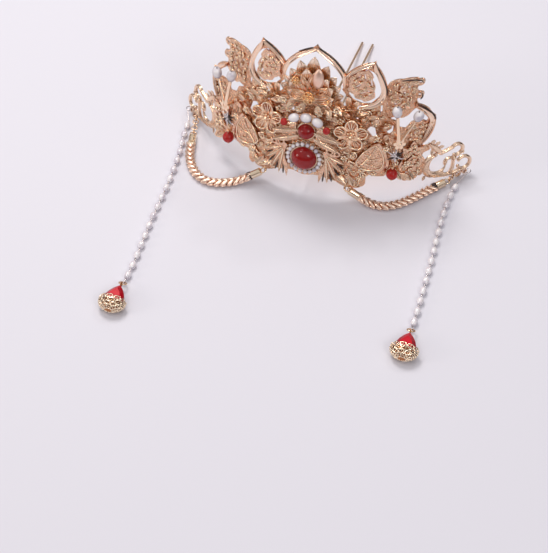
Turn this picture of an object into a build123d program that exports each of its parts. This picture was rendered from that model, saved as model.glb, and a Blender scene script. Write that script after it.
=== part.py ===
from build123d import *
import os
from math import asin, ceil, cos, degrees, hypot, pi, radians, sin, sqrt

# A bridal phoenix crown: a tall open arc of pierced casting with five ogee arches,
# a lotus in the middle arch, blossoms, leaves, red cabochons and pearls in front of it,
# curled scrolls at both ends, two braided swags, two pearl strings with drops
# and a two-pronged hair fork behind.
# Left and right are as seen from the front. X runs to the right, Y to the back, Z up.
# The floor is Z = 0, and the origin is the foot of the crest's middle on the floor.
# Crest pieces are drawn as seen from the front (x across, z up the leaning face)
# and stand off its face by their layer's height.

# Driving dimensions, millimetres and degrees
lean = 11.6
crest_radius = 112.0
crest_thick = 1.2
rim_height = 0.6
rim_width = 0.8
rim_inset = 0.15
inner_rim_inset = 2.2
solder_gap = 0.05
reach = 70.0
chord_length = 2.4

# Heights of the layers' undersides in front of the crest's face
wing_layer = -2.5
ear_layer = 1.4
petal_layer = 0.7
field_layer = 3.2
shield_layer = 4.3
blossom_layer = 5.2
setting_layer = 5.4
fan_layer = 6.4
spray_layer = 7.4
pearl_arc_layer = 11.4
stem_layer = 9.2

# Stones, pearls and wire
cabochon_size = (16.0, 15.2, 7.0)
small_cabochon_size = (10.4, 9.8, 6.0)
ring_pearl_radius = 1.36
ring_pearl_count = 20
arc_pearl_size = (7.2, 5.5)
arc_bead_radius = 2.25
stem_pearl_size = (6.0, 7.5)
red_bead_radius = 3.6
wire_radius = 0.35
bore_clearance = 0.15
bowed_bore_clearance = 0.45

# What lies on the floor
rope_radius = 2.5
string_pearl_size = (4.0, 6.2)
string_pitch = 8.3
thread_radius = 0.25
string_loop_radius = 1.2
loop_wire = 0.3
loop_offset = 1.5
hook_radius = 2.2
joint_ball = 0.45
drop_width = 12.4
drop_length = 17.0
drop_thick = 6.2
cup_width = 15.4
cup_height = 9.4
cup_depth = 6.6
cup_wall = 0.9
cup_lobes = 12
ring_radius = 2.3
ring_wire = 0.4

# Hair fork
prong_radius = 0.85
prong_half_gap = 3.7
prong_tip_y = 150.0
prong_root_y = 5.9
prong_slope = 8.3
collar_radius = 1.5
collar_length = 3.2
pad_thick = 1.6

sides = (("left", -1), ("right", 1))
low = (Align.CENTER, Align.CENTER, Align.MIN)
high = (Align.CENTER, Align.CENTER, Align.MAX)


# Placing and shaping helpers
def arc_points(start, end, bulge):
    # Points along an arc of the given height to the left, its far end left out
    across = (end[0] - start[0], end[1] - start[1])
    chord = hypot(*across)
    if bulge == 0:
        return [start]
    radius = (chord * chord / 4 + bulge * bulge) / (2 * bulge)
    half = asin(min(chord / 2 / abs(radius), 1.0))
    steps = max(3, ceil(2 * abs(radius) * half / chord_length))
    points = []
    for step in range(steps):
        angle = -half + 2 * half * step / steps
        along = abs(radius) * sin(angle) / chord
        out = (bulge - radius + radius * cos(angle)) / chord
        middle = (start[0] + across[0] / 2, start[1] + across[1] / 2)
        points.append((middle[0] + along * across[0] - out * across[1],
                       middle[1] + along * across[1] + out * across[0]))
    return points


def flat_face(points):
    shape = Face(Wire.make_polygon(points))
    if shape.normal_at().Z < 0:
        shape = -shape
    return Sketch() + shape


def outline(rows):
    # Each row is (x, z, bulge): bulge is the arc's height to the left on the way to the next row
    points = []
    for (x, z, bulge), (next_x, next_z, _) in zip(rows, rows[1:] + rows[:1]):
        points += arc_points((x, z), (next_x, next_z), bulge)
    return flat_face(points)


def lens(start, end, width):
    # A pointed oval between two points
    return flat_face(arc_points(start, end, width / 2) + arc_points(end, start, width / 2))


def arc_band(x, z, radius, width, start, sweep):
    # Part of a flat ring with round ends, its angles counted from +x towards +z
    ring = Circle(radius + width / 2) - Circle(radius - width / 2)
    if abs(sweep) < 359:
        steps = ceil(abs(sweep) / 60)
        far = 3 * radius
        corners = [(0, 0)]
        for step in range(steps + 1):
            angle = radians(start + sweep * step / steps)
            corners.append((far * cos(angle), far * sin(angle)))
        if sweep < 0:
            corners = corners[:1] + corners[:0:-1]
        ring = ring & make_face(Polyline(corners, close=True))
        for angle in (radians(start), radians(start + sweep)):
            ring += Pos(radius * cos(angle), radius * sin(angle)) * Circle(width / 2)
    return Pos(x, z) * ring


def bar(start, end, width):
    # A straight flat bar with round ends
    length = hypot(end[0] - start[0], end[1] - start[1])
    middle = ((start[0] + end[0]) / 2, (start[1] + end[1]) / 2)
    turn = degrees(asin((end[1] - start[1]) / length))
    if end[0] < start[0]:
        turn = 180 - turn
    return Pos(*middle) * Rot(0, 0, turn) * SlotOverall(length + width, width)


def both_sides(sketch):
    return sketch + mirror(sketch, Plane.YZ)


def on_side(shape, side):
    if side > 0:
        return shape
    return mirror(shape, Plane.YZ)


def wall(sketch, layer, thick):
    # A drawing wrapped as a plate on the crest's curve, leaning with it
    block = extrude(Plane.XZ * sketch, amount=reach, both=True)
    inner = crest_radius + layer
    shell = Cylinder(inner + thick, 300) - Cylinder(inner, 300)
    return Rot(-lean, 0, 0) * (block & (Pos(0, crest_radius, 0) * shell))


def seat(x, z, layer=0.0):
    # A place on the crest: local z points straight out of its face, local y up along it
    radius = crest_radius + layer
    turn = degrees(asin(x / radius))
    around = Pos(0, crest_radius, 0) * Rot(0, 0, turn) * Pos(0, -radius, z)
    return Rot(-lean, 0, 0) * around * Rot(90, 0, 0)


def seat_point(x, z, layer=0.0):
    return seat(x, z, layer).position


def post(x, z, from_layer, to_layer, radius):
    # A round post square to the crest, its head at the given place
    height = to_layer - from_layer
    return seat(x, z, to_layer) * Cylinder(radius, height, align=high)


def rod(start, end, radius, end_radius=None):
    # A straight round rod, tapered where the second radius is given
    start = Vector(*start)
    end = Vector(*end)
    along = end - start
    place = Plane(origin=start, z_dir=along).location
    if end_radius is None:
        return place * Cylinder(radius, along.length, align=low)
    return place * Cone(radius, end_radius, along.length, align=low)


def oval(width, length):
    # A round-bodied bead, long along z
    return scale(Sphere(1), by=(width / 2, width / 2, length / 2))


def bore(length, radius):
    return Cylinder(radius, length)


def dots(region, pitch, radius, margin):
    # Round piercings on a staggered grid, kept off the region's edge
    inner = offset(region, -margin, kind=Kind.INTERSECTION)
    box = inner.bounding_box()
    holes = Sketch()
    row = 0
    z = box.min.Y
    while z <= box.max.Y:
        x = box.min.X + (row % 2) * pitch / 2
        while x <= box.max.X:
            spot = Vector(x, z, 0)
            if any(face.is_inside(spot) for face in inner.faces()):
                holes += Pos(x, z) * Circle(radius)
            x += pitch
        z += pitch * sqrt(3) / 2
        row += 1
    return holes


# The crest: right half of the outline, clockwise from the middle arch's tip
crest_rows = [
    (0.0, 104.4, 0), (0.9, 103.2, -0.4), (5.0, 100.6, 1.3), (18.6, 88.3, 1.3),
    (31.0, 97.0, -0.3), (34.6, 98.4, 0), (35.1, 95.8, 1.2), (42.6, 80.5, 0.7),
    (42.9, 65.5, 0), (45.0, 60.5, 0), (50.0, 58.0, 0), (51.5, 53.8, 0),
    (55.3, 52.8, 0), (58.2, 57.0, 0.3), (62.4, 58.2, 0.3), (66.2, 56.4, 0),
    (67.5, 58.4, -0.3), (64.4, 62.6, -0.2), (60.3, 66.6, 0), (59.2, 69.9, 0.8),
    (67.2, 64.8, -0.4), (71.0, 59.7, 0), (71.3, 57.4, 1.7), (67.5, 41.5, 0.5),
    (63.5, 38.9, 0.5), (68.2, 38.4, 0.3), (70.6, 35.2, 0), (67.8, 34.0, 0),
    (66.2, 30.6, 0), (66.4, 27.6, 0), (69.4, 24.6, 0), (69.0, 20.0, 0),
    (64.0, 17.4, 0), (58.0, 16.6, 0), (56.4, 20.5, 0), (50.5, 22.0, 0),
    (47.0, 18.6, 0.6), (38.0, 19.6, 0), (36.2, 17.6, 0.5), (35.6, 12.6, 1.0),
    (31.5, 9.2, 0), (25.5, 9.6, 0.4), (19.0, 13.0, 0.3), (10.0, 15.0, 0),
    (0.0, 15.0, 0),
]

# Openings of the right half
middle_window = [
    (0.0, 100.2, 0), (5.4, 97.2, 1.0), (15.8, 87.2, 0), (18.2, 84.4, 0), (19.2, 81.4, 0),
    (17.2, 78.0, 0), (19.4, 75.2, 0), (21.2, 72.4, 0), (21.2, 67.6, 0), (18.4, 66.2, 0),
    (16.6, 69.0, 0), (10.8, 69.0, 0), (8.0, 71.8, 0), (0.0, 72.4, 0),
]
window_rows = (
    [(30.4, 93.4, 0), (34.3, 91.4, 0.7), (39.6, 80.2, 0.4), (38.4, 74.4, 0), (34.6, 70.2, 0),
     (29.6, 69.8, 0), (24.2, 71.8, 0), (20.8, 75.6, 0), (23.6, 79.4, 0), (25.6, 86.4, 0),
     (28.2, 91.0, 0)],
    [(26.4, 66.2, 0), (28.8, 68.8, 0), (31.0, 65.2, 0), (29.6, 63.0, 0)],
    [(40.4, 64.2, 0), (40.2, 69.0, 0), (41.2, 69.4, 0), (41.6, 64.8, 0)],
    [(34.0, 51.6, 0), (36.0, 54.4, 0), (38.6, 53.6, 0), (40.4, 46.8, 0), (38.2, 46.2, 0)],
    [(45.2, 50.2, 0), (47.2, 55.0, 0), (48.8, 55.0, 0), (48.8, 49.6, 0), (46.8, 49.0, 0)],
    [(10.4, 57.2, 0), (11.2, 62.4, 0), (13.8, 59.4, 0), (12.8, 56.8, 0)],
    [(15.0, 50.6, 0), (17.2, 54.6, 0), (20.0, 52.0, 0), (18.0, 49.4, 0)],
    [(23.4, 17.2, 0), (29.8, 18.2, 0), (31.4, 14.4, 0), (27.0, 11.8, 0), (23.2, 13.6, 0)],
    [(58.0, 20.0, 0), (60.6, 22.8, 0), (63.2, 21.2, 0), (61.0, 19.0, 0)],
)
ear_slot = ((56.6, 30.6), (61.6, 36.2), 0.9)
pierced_zones = (
    [(24.0, 20.5, 0), (12.5, 19.0, 0), (12.0, 44.0, 0), (22.0, 60.0, 0), (31.5, 60.0, 0),
     (32.5, 46.0, 0), (42.0, 42.0, 0), (52.0, 44.0, 0), (54.0, 30.0, 0), (46.0, 22.5, 0)],
    [(58.4, 43.6, 0), (58.4, 54.6, 0), (62.4, 56.4, 0), (67.2, 53.6, 0), (66.0, 45.6, 0)],
)


def crest_sketch():
    shape = both_sides(outline(crest_rows))
    for x, z, radius in ((67.0, 18.6, 1.6), (64.0, 16.9, 1.9), (59.6, 16.6, 2.4)):
        shape += both_sides(Pos(x, z) * Circle(radius))
    return shape


def make_crest_plate():
    silhouette = crest_sketch()
    plate = silhouette - both_sides(outline(middle_window))
    for rows in window_rows:
        plate -= both_sides(outline(rows))
    start, end, width = ear_slot
    plate -= both_sides(bar(start, end, width))
    for zone, pitch in zip(pierced_zones, (7.6, 4.6)):
        plate -= both_sides(dots(outline(zone), pitch, 0.75, 0.6))
    arches = both_sides(outline([(0, 110, 0), (44, 110, 0), (44, 80.6, 0), (0, 80.6, 0)]))
    arches += both_sides(outline([(59, 72, 0), (74, 72, 0), (74, 42, 0), (66, 42, 0)]))
    rims = offset(silhouette, -rim_inset) - offset(silhouette, -rim_inset - rim_width)
    rims += offset(silhouette, -inner_rim_inset) - offset(silhouette, -inner_rim_inset - rim_width)
    rims = rims & arches
    for rows in (middle_window, window_rows[0]):
        rims -= both_sides(offset(outline(rows), rim_inset))
    body = wall(plate, -crest_thick, crest_thick)
    return body + wall(rims, -0.3, rim_height + 0.3)


# Cloud wings: knobbed, pierced plates that rise behind the crest between its arches
wing_rows = [
    (40.6, 78.6, 0), (43.4, 84.0, 0.8), (50.5, 86.0, 0.5), (58.4, 86.6, 0), (60.0, 84.0, 0),
    (58.6, 79.6, 0), (60.2, 76.0, 0), (59.4, 71.0, 0), (61.0, 67.2, 0), (57.8, 64.0, 0.6),
    (53.6, 59.8, 0.8), (50.2, 61.2, 0), (46.0, 59.6, 0), (42.0, 60.0, 0), (40.8, 64.0, 0),
    (42.6, 65.6, 0), (43.6, 70.0, 0), (41.0, 71.0, 0),
]


def make_cloud_wing(side):
    shape = outline(wing_rows)
    for x, z in ((60.0, 83.6), (60.4, 75.0)):
        shape += Pos(x, z) * Circle(2.4)
    zone = outline([(45.0, 82.0, 0), (57.6, 83.2, 0), (56.4, 66.0, 0), (46.0, 64.6, 0)])
    shape -= dots(zone, 4.3, 0.7, 0.8)
    for x, z in ((60.0, 83.6), (60.4, 75.0)):
        shape -= Pos(x, z) * Circle(0.8)
    return on_side(wall(shape, wing_layer, 1.2), side)


# Pierced leaves hung in the side arches
side_leaf_rows = [
    (21.4, 87.4, 0.3), (24.6, 89.8, 0), (25.4, 91.6, 0.3), (29.4, 92.4, 0), (31.2, 93.2, 0.4),
    (34.6, 88.6, 0), (34.0, 86.8, 0.3), (36.4, 81.6, 0), (35.4, 80.0, 0.4), (36.6, 75.2, 0),
    (34.6, 73.6, 0.3), (30.6, 72.2, 0), (29.4, 73.4, 0.3), (25.6, 74.4, 0), (24.4, 76.6, 0.4),
    (20.4, 79.8, 0), (21.4, 81.6, 0.3),
]
side_leaf_slits = (
    ((24.4, 86.6), (27.0, 88.6)), ((29.6, 90.2), (30.2, 87.4)), ((33.6, 86.6), (34.2, 83.2)),
    ((25.4, 81.6), (28.0, 83.4)), ((28.4, 77.4), (31.0, 78.6)), ((32.6, 79.6), (33.6, 76.4)),
)


def make_side_leaf(side):
    shape = outline(side_leaf_rows)
    for start, end in side_leaf_slits:
        shape -= bar(start, end, 0.7)
    return on_side(wall(shape, petal_layer, 1.0), side)


# The lotus in the middle arch
lotus_root = (0.0, 72.0)
back_petals = ((0.0, 98.4, 9.6), (8.2, 94.0, 8.0), (13.8, 88.8, 7.6), (17.4, 79.4, 7.0))
heart_petals = ((0.0, 18.0, 9.0), (32.0, 15.5, 8.0), (66.0, 12.5, 7.0))
heart_knob = 2.0
stamen_spots = ((8.4, -0.8, 1.3), (3.6, -5.6, 1.3), (11.2, -4.2, 1.5))


def make_lotus_petals():
    shape = Pos(*lotus_root) * Circle(5.5)
    for x, z, width in back_petals:
        shape += both_sides(lens(lotus_root, (x, z), width))
    return wall(shape, petal_layer, 0.9) + post(0, 70.5, solder_gap, petal_layer + 0.2, 2.5)


def make_lotus_heart():
    hub_layer = petal_layer + 0.9 + solder_gap
    hub = seat(0, lotus_root[1], hub_layer)
    heart = hub * Cylinder(4.4, 1.6, align=low)
    for turn, length, width in heart_petals:
        for side in ((1, -1) if turn else (1,)):
            petal = extrude(lens((0, 0), (0, length), width), amount=0.8)
            heart += hub * Rot(0, 0, -side * turn) * Pos(0, 0, 0.7) * Rot(14, 0, 0) * petal
    heart += hub * Pos(0, 0, heart_knob + 0.1) * Sphere(heart_knob)
    for x, z, radius in stamen_spots:
        for side in (1, -1):
            heart += hub * Pos(0, 0, 0.3) * extrude(bar((0, 0), (side * x, z), 1.0), amount=0.9)
            heart += hub * Pos(side * x, z, radius + 0.1) * Sphere(radius)
    return heart


# Pierced fields on both sides of the middle, the layer that carries the blossoms
field_rows = [
    (11.2, 21.0, 0), (11.0, 34.0, 0), (10.4, 46.0, 0), (12.0, 55.0, 0.6), (17.0, 59.0, 0),
    (19.0, 57.6, 0.8), (25.0, 63.0, 0), (27.4, 60.6, 0.6), (32.0, 58.4, 0), (33.6, 54.0, -0.8),
    (39.4, 48.6, 0), (41.0, 51.0, 0.6), (45.0, 52.6, 0), (49.4, 50.8, 0.6), (51.6, 45.0, 0),
    (50.8, 36.0, 0.3), (50.6, 29.4, 0), (47.6, 23.2, 0.6), (40.0, 23.0, 0), (37.4, 20.4, 0),
    (37.6, 15.6, 0.8), (34.4, 13.2, 0), (32.0, 17.6, 0), (25.0, 18.8, 0.5), (17.0, 18.4, 0),
]
field_windows = (
    [(14.0, 50.0, 0), (16.6, 53.4, 0), (18.4, 50.6, 0), (15.8, 48.0, 0)],
    [(27.8, 36.6, 0), (30.0, 40.2, 0), (31.4, 37.0, 0), (29.4, 34.6, 0)],
    [(33.0, 45.4, 0), (35.6, 47.4, 0), (38.0, 44.6, 0), (35.0, 43.2, 0)],
    [(21.0, 22.4, 0), (25.0, 25.4, 0), (28.2, 22.6, 0), (24.4, 21.0, 0)],
    [(44.4, 46.4, 0), (46.0, 49.6, 0), (48.4, 47.8, 0), (47.2, 44.6, 0)],
)
field_posts = ((14.5, 30.0), (14.5, 44.0), (30.0, 55.0), (48.0, 32.0))
red_bead_spot = (52.9, 24.7, 7.2)


def make_front_field(side):
    shape = outline(field_rows)
    for rows in field_windows:
        shape -= outline(rows)
    body = wall(shape, field_layer, 1.0)
    for x, z in field_posts:
        body += post(x, z, solder_gap, field_layer + 0.3, 1.0)
    bead_middle = seat_point(*red_bead_spot)
    bead_top = (bead_middle.X, bead_middle.Y, bead_middle.Z + red_bead_radius + 2.2)
    bead_foot = (bead_middle.X, bead_middle.Y, bead_middle.Z - red_bead_radius - 0.9)
    body += rod(bead_foot, bead_top, wire_radius)
    body += Pos(*bead_foot) * Sphere(0.8)
    body += Pos(*bead_top) * Sphere(1.0)
    body += rod(bead_top, tuple(seat_point(50.0, 31.4, field_layer + 0.5)), 0.8)
    return on_side(body, side)


# Open five-petalled blossoms
blossom_spot = (26.0, 51.0)
petal_reach = 6.1
petal_size = (8.6, 7.4)


def make_blossom(side):
    face = seat(blossom_spot[0], blossom_spot[1], blossom_layer)
    body = face * Cylinder(3.0, 1.6, align=low)
    for step in range(5):
        place = face * Rot(0, 0, 18 + 72 * step) * Pos(petal_reach, 0, 0)
        petal = extrude(Ellipse(petal_size[0] / 2, petal_size[1] / 2), amount=1.5)
        hollow = extrude(Ellipse(petal_size[0] / 2 - 0.7, petal_size[1] / 2 - 0.7), amount=1.0)
        body += place * petal
        body -= place * Pos(1.6, 0, 0.8) * hollow
    body += face * Pos(0, 0, 1.6) * scale(Sphere(1), by=(2.2, 2.2, 1.4))
    body += post(blossom_spot[0], blossom_spot[1], field_layer + 1.0 + solder_gap, blossom_layer + 0.3, 1.4)
    return on_side(body, side)


# Broad leaves towards the ears, each with a raised outer edge
broad_leaf_rows = [
    (30.8, 33.0, 0.5), (35.0, 39.4, 0), (36.6, 41.6, 0.5), (42.6, 46.6, 1.0), (48.8, 33.0, 0.4),
    (48.4, 29.6, 0), (46.6, 26.4, 0.5), (43.6, 25.4, 0), (42.0, 27.0, 0.4), (37.4, 26.6, 0),
    (35.6, 28.6, 0.4),
]
leaf_edge_rows = [
    (42.0, 46.0, 0), (43.2, 47.0, 1.1), (50.2, 33.0, 0.2), (50.0, 29.8, 0), (48.3, 29.6, -0.1),
    (48.5, 32.6, -0.9),
]


def make_broad_leaf(side):
    body = wall(outline(broad_leaf_rows) + outline(leaf_edge_rows), blossom_layer, 1.0)
    body += wall(outline(leaf_edge_rows), blossom_layer + 0.8, 1.0)
    body += post(41.0, 34.0, field_layer + 1.0 + solder_gap, blossom_layer + 0.3, 1.4)
    return on_side(body, side)


# Middle shield behind the stones
shield_rows = [
    (0.0, 61.0, 0.8), (8.4, 57.0, 0), (9.8, 50.0, 0), (8.0, 42.6, 0.4), (10.6, 31.0, 0.6),
    (8.6, 20.4, 0.8), (0.0, 17.4, 0),
]


def make_shield():
    body = wall(both_sides(outline(shield_rows)), shield_layer, 1.0)
    for x, z in ((0.0, 58.0), (-6.5, 46.0), (6.5, 46.0), (0.0, 22.0)):
        body += post(x, z, solder_gap, shield_layer + 0.3, 1.0)
    return body


# Feather blades and tail fans beside the stones
blade_rows = (
    ((3.0, 50.4), (22.0, 45.4), 5.2),
    ((3.0, 46.4), (21.0, 39.0), 4.8),
    ((5.4, 54.0), (15.6, 53.0), 3.4),
)
fan_root = (13.2, 35.4)
fan_tips = ((24.8, 30.4), (24.2, 24.0), (20.6, 18.6), (15.6, 15.2), (10.2, 14.4))
curl_spots = ((15.4, 38.2, 2.3), (19.8, 37.0, 2.0))
tray_clear = (12.6, 12.1)
small_tray_clear = (6.3, 6.1)


def make_feather_spray(side):
    blades = Sketch()
    for start, end, width in blade_rows:
        blades += lens(start, end, width)
    blades += outline([(6.4, 55.0, 0), (10.4, 54.4, 0), (11.0, 42.6, 0), (6.4, 43.4, 0)])
    blades -= Pos(*small_cabochon_spot) * Ellipse(small_tray_clear[0], small_tray_clear[1])
    body = wall(blades, spray_layer, 0.9)
    body += post(9.0, 49.0, shield_layer + 1.0 + solder_gap, spray_layer + 0.3, 0.9)
    return on_side(body, side)


def make_tail_fan(side):
    rays = Pos(*fan_root) * Circle(2.4)
    for tip in fan_tips:
        rays += lens(fan_root, tip, 3.0)
    for x, z, radius in curl_spots:
        rays += arc_band(x, z, radius - 0.5, 1.0, 0, 360)
    rays += bar(fan_root, (19.0, 35.6), 1.4)
    rays -= Pos(*cabochon_spot) * Ellipse(tray_clear[0], tray_clear[1])
    body = wall(rays, fan_layer, 0.9)
    body += post(fan_root[0], fan_root[1], field_layer + 1.0 + solder_gap, fan_layer + 0.3, 0.8)
    return on_side(body, side)


# Stones and their settings
cabochon_spot = (0.0, 30.6)
small_cabochon_spot = (0.0, 49.7)


def make_setting(spot, size, tray, scallops):
    face = seat(spot[0], spot[1], setting_layer)
    half_w = size[0] / 2
    half_h = size[1] / 2
    body = face * extrude(Ellipse(half_w + tray, half_h + tray), amount=0.8)
    collar = Ellipse(half_w + 0.6, half_h + 0.6) - Ellipse(half_w + 0.05, half_h + 0.05)
    body += face * extrude(collar, amount=2.2)
    for step in range(scallops):
        angle = 2 * pi * step / scallops
        place = Pos((half_w + tray) * cos(angle), (half_h + tray) * sin(angle), 0)
        body += face * place * Cylinder(0.9, 0.8, align=low)
    return body


def make_cabochon(spot, size):
    girdle = 0.9
    face = seat(spot[0], spot[1], setting_layer + 0.8 + solder_gap)
    base = extrude(Ellipse(size[0] / 2, size[1] / 2), amount=girdle)
    dome = scale(Sphere(1), by=(size[0] / 2, size[1] / 2, size[2] - girdle))
    upper = Pos(0, 0, size[2]) * Box(3 * size[0], 3 * size[1], 2 * size[2])
    return face * (base + Pos(0, 0, girdle) * (dome & upper))


def make_pearl_ring():
    face = seat(cabochon_spot[0], cabochon_spot[1], setting_layer + 0.8 + solder_gap + ring_pearl_radius)
    across = cabochon_size[0] / 2 + 0.7 + ring_pearl_radius
    up = cabochon_size[1] / 2 + 0.7 + ring_pearl_radius
    pearls = []
    for step in range(ring_pearl_count):
        angle = 2 * pi * (step + 0.5) / ring_pearl_count
        pearls.append(face * Pos(across * cos(angle), up * sin(angle), 0) * Sphere(ring_pearl_radius))
    return Compound(children=pearls)


# The arc of pearls over the small cabochon, on a bowed wire
arc_middle = (0.0, 61.2, pearl_arc_layer)
arc_stops = ((7.3, 58.3), (13.2, 54.4))
arc_end = (15.4, 52.6)


def arc_circle():
    # Middle and radius of the wire's bow, in the plane of its layer
    half = arc_end[0]
    rise = arc_middle[1] - arc_end[1]
    radius = (half * half + rise * rise) / (2 * rise)
    return arc_middle[1] - radius, radius


def arc_place(x):
    centre_z, radius = arc_circle()
    turn = degrees(asin(x / radius))
    return seat(0, centre_z, pearl_arc_layer) * Rot(0, 0, -turn) * Pos(0, radius, 0) * Rot(0, 90, 0)


def make_arc_wire():
    centre_z, radius = arc_circle()
    turn = degrees(asin(arc_end[0] / radius))
    bow = Circle(wire_radius).face()
    frame = seat(0, centre_z, pearl_arc_layer)
    path = frame * CenterArc((0, 0), radius, 90 - turn, 2 * turn)
    start = path @ 0
    heading = path % 0
    body = sweep(Plane(origin=start, z_dir=heading) * bow, path=path)
    for side in (1, -1):
        end = frame * Pos(side * arc_end[0], sqrt(radius ** 2 - arc_end[0] ** 2), 0)
        body += end * Sphere(0.6)
        foot = seat_point(side * 14.6, 50.4, field_layer + 1.0 + solder_gap)
        body += rod(tuple(foot), tuple(end.position), 0.5)
    return body


def make_arc_pearl(x):
    bead = oval(arc_pearl_size[1], arc_pearl_size[0]) - bore(20, wire_radius + bowed_bore_clearance)
    return arc_place(x) * bead


def make_arc_bead(x):
    return arc_place(x) * (Sphere(arc_bead_radius) - bore(20, wire_radius + bore_clearance))


# Pearls on stems, two on each side
stem_root = (54.9, 48.4)
stem_rows = (("inner", 51.6, 70.7, 9.9, 1.25, 0.95), ("outer", 63.4, 66.3, 8.6, 0.9, 0.7))


def stem_axis(row):
    _, x, z, layer, _, _ = row
    root = seat_point(stem_root[0], stem_root[1], stem_layer + 1.0)
    middle = seat_point(x, z, layer)
    return root, middle


def make_pearl_stems(side):
    face = seat(stem_root[0], stem_root[1], stem_layer)
    rosette = Circle(2.4)
    for step in range(6):
        rosette += Rot(0, 0, 60 * step) * Pos(2.6, 0) * Circle(1.25)
    body = face * extrude(rosette, amount=1.2)
    body += post(stem_root[0], stem_root[1], solder_gap, stem_layer + 0.3, 1.1)
    body += face * Pos(0, 0, 1.0) * Sphere(1.5)
    for row in stem_rows:
        root, middle = stem_axis(row)
        along = (middle - root).normalized()
        cup = middle - along * (stem_pearl_size[1] / 2 + 0.1)
        cap = middle + along * (stem_pearl_size[1] / 2 + 0.5)
        body += rod(tuple(root), tuple(cup), row[4], row[5])
        body += rod(tuple(cup - along), tuple(cap), wire_radius)
        body += Pos(*cap) * Sphere(0.75)
    return on_side(body, side)


def make_stem_pearl(side, row):
    root, middle = stem_axis(row)
    bead = oval(*stem_pearl_size) - bore(20, wire_radius + bore_clearance)
    return on_side(Plane(origin=middle, z_dir=middle - root).location * bead, side)


def make_red_bead(side):
    middle = seat_point(*red_bead_spot)
    bead = Sphere(red_bead_radius) - bore(20, wire_radius + bore_clearance)
    return on_side(Pos(*middle) * bead, side)


# Leaves in front of the crest's ends
ear_leaf_rows = [
    (55.0, 27.0, 0), (57.4, 33.0, 0.4), (56.4, 40.0, 0), (59.6, 39.0, 0.3), (61.8, 44.6, 0.3),
    (64.4, 39.6, 0), (68.6, 39.2, 0.3), (66.6, 34.4, 0), (69.2, 29.6, 0.5), (65.4, 27.4, 0),
    (65.0, 22.4, 0.4), (60.6, 23.6, 0), (57.6, 20.6, 0.3),
]
ear_zone = [(57.6, 24.0, 0), (57.6, 30.0, 0), (66.4, 37.6, 0), (66.4, 25.0, 0)]


def make_ear_leaf(side):
    shape = outline(ear_leaf_rows)
    shape -= bar((58.6, 30.4), (62.8, 35.2), 1.0)
    shape -= dots(outline(ear_zone), 3.6, 0.6, 0.6)
    body = wall(shape, ear_layer, 0.9)
    body += post(63.6, 28.8, solder_gap, ear_layer + 0.2, 1.2)
    return on_side(body, side)


# End scrolls: flat plates that carry on from both ends of the crest's arc
scroll_start = 72.0
scroll_layer = -3.0
scroll_thick = 1.5
# Curls: along, up, radius, width, first angle, sweep
scroll_curls = (
    (19.4, 30.2, 4.0, 2.0, 150, -260),
    (25.7, 19.4, 4.6, 1.9, 150, -270),
    (15.0, 21.6, 3.0, 1.6, 45, 160),
)
# Bars: start, end, width
scroll_bars = (
    ((8.0, 29.2), (16.2, 32.4), 2.0),
    ((17.9, 25.2), (18.2, 17.0), 1.8),
    ((18.2, 17.0), (16.6, 12.6), 1.8),
    ((25.7, 14.8), (17.2, 12.4), 1.9),
    ((17.0, 12.4), (6.0, 12.7), 1.9),
    ((-2.0, 36.6), (-6.4, 36.2), 2.2),
    ((-3.0, 22.0), (-6.4, 22.4), 2.4),
)
# Eyes for the swag's rings and for the string: along, up, radius, side its ring lies to
scroll_eyes = ((23.0, 11.5, 1.8, -1), (27.4, 12.6, 1.5, 1))
eye_width = 0.8
eye_ring_swing = 20.0


def scroll_place():
    turn = degrees(asin(scroll_start / crest_radius))
    around = Pos(0, crest_radius, 0) * Rot(0, 0, turn) * Pos(0, -crest_radius - scroll_layer, 0)
    return Rot(-lean, 0, 0) * around * Rot(90, 0, 0)


def make_scroll(side):
    shape = lens((-1.6, 38.6), (9.2, 28.6), 4.6)
    shape += Pos(4.6, 21.0) * Circle(8.6) - Pos(7.0, 22.6) * Circle(7.0)
    shape += Pos(18.0, 24.6) * Circle(1.4)
    for row in scroll_curls:
        shape += arc_band(*row)
    for row in scroll_bars:
        shape += bar(*row)
    for along, up, radius, _ in scroll_eyes:
        shape += arc_band(along, up, radius, eye_width, 0, 360)
    return on_side(scroll_place() * extrude(shape, amount=scroll_thick), side)


def eye_ring(number, side, radius, wire):
    # A ring hung through an eye and swung forwards, its middle and its far point
    along, up, _, way = scroll_eyes[number]
    across = way * radius * cos(radians(eye_ring_swing))
    ahead = radius * sin(radians(eye_ring_swing))
    near = scroll_place() * Pos(along + across, up, scroll_thick / 2 + ahead)
    far = scroll_place() * Pos(along + 2 * across, up, scroll_thick / 2 + 2 * ahead)
    ring = on_side(near * Rot(90, 0, 0) * Torus(radius, wire), side)
    flip = 1 if side > 0 else -1
    middle, end = (Vector(flip * spot.X, spot.Y, spot.Z) for spot in (near.position, far.position))
    return ring, middle, end


# Braided swags on the floor: each row is (x, y, z) of the middle line
rope_routes = {
    "left": [(-33.9, -1.5, 6.4), (-41.2, -4.8, 2.5), (-49.6, -9.6, 2.5), (-58.6, -11.6, 2.5),
             (-67.4, -8.6, 2.5), (-74.2, -1.2, 2.5), (-79.0, 8.0, 2.5), (-81.2, 17.6, 2.5)],
    "right": [(34.7, 1.6, 6.5), (42.0, 1.7, 2.5), (51.0, 1.6, 2.5), (59.4, 6.6, 2.5),
              (67.0, 15.0, 2.5), (73.0, 23.0, 2.5), (77.8, 28.6, 2.5)],
}
cap_length = 6.0
cap_loop_radius = 2.0
cap_loop_wire = 0.4
cap_loop_reach = 2.4


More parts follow.
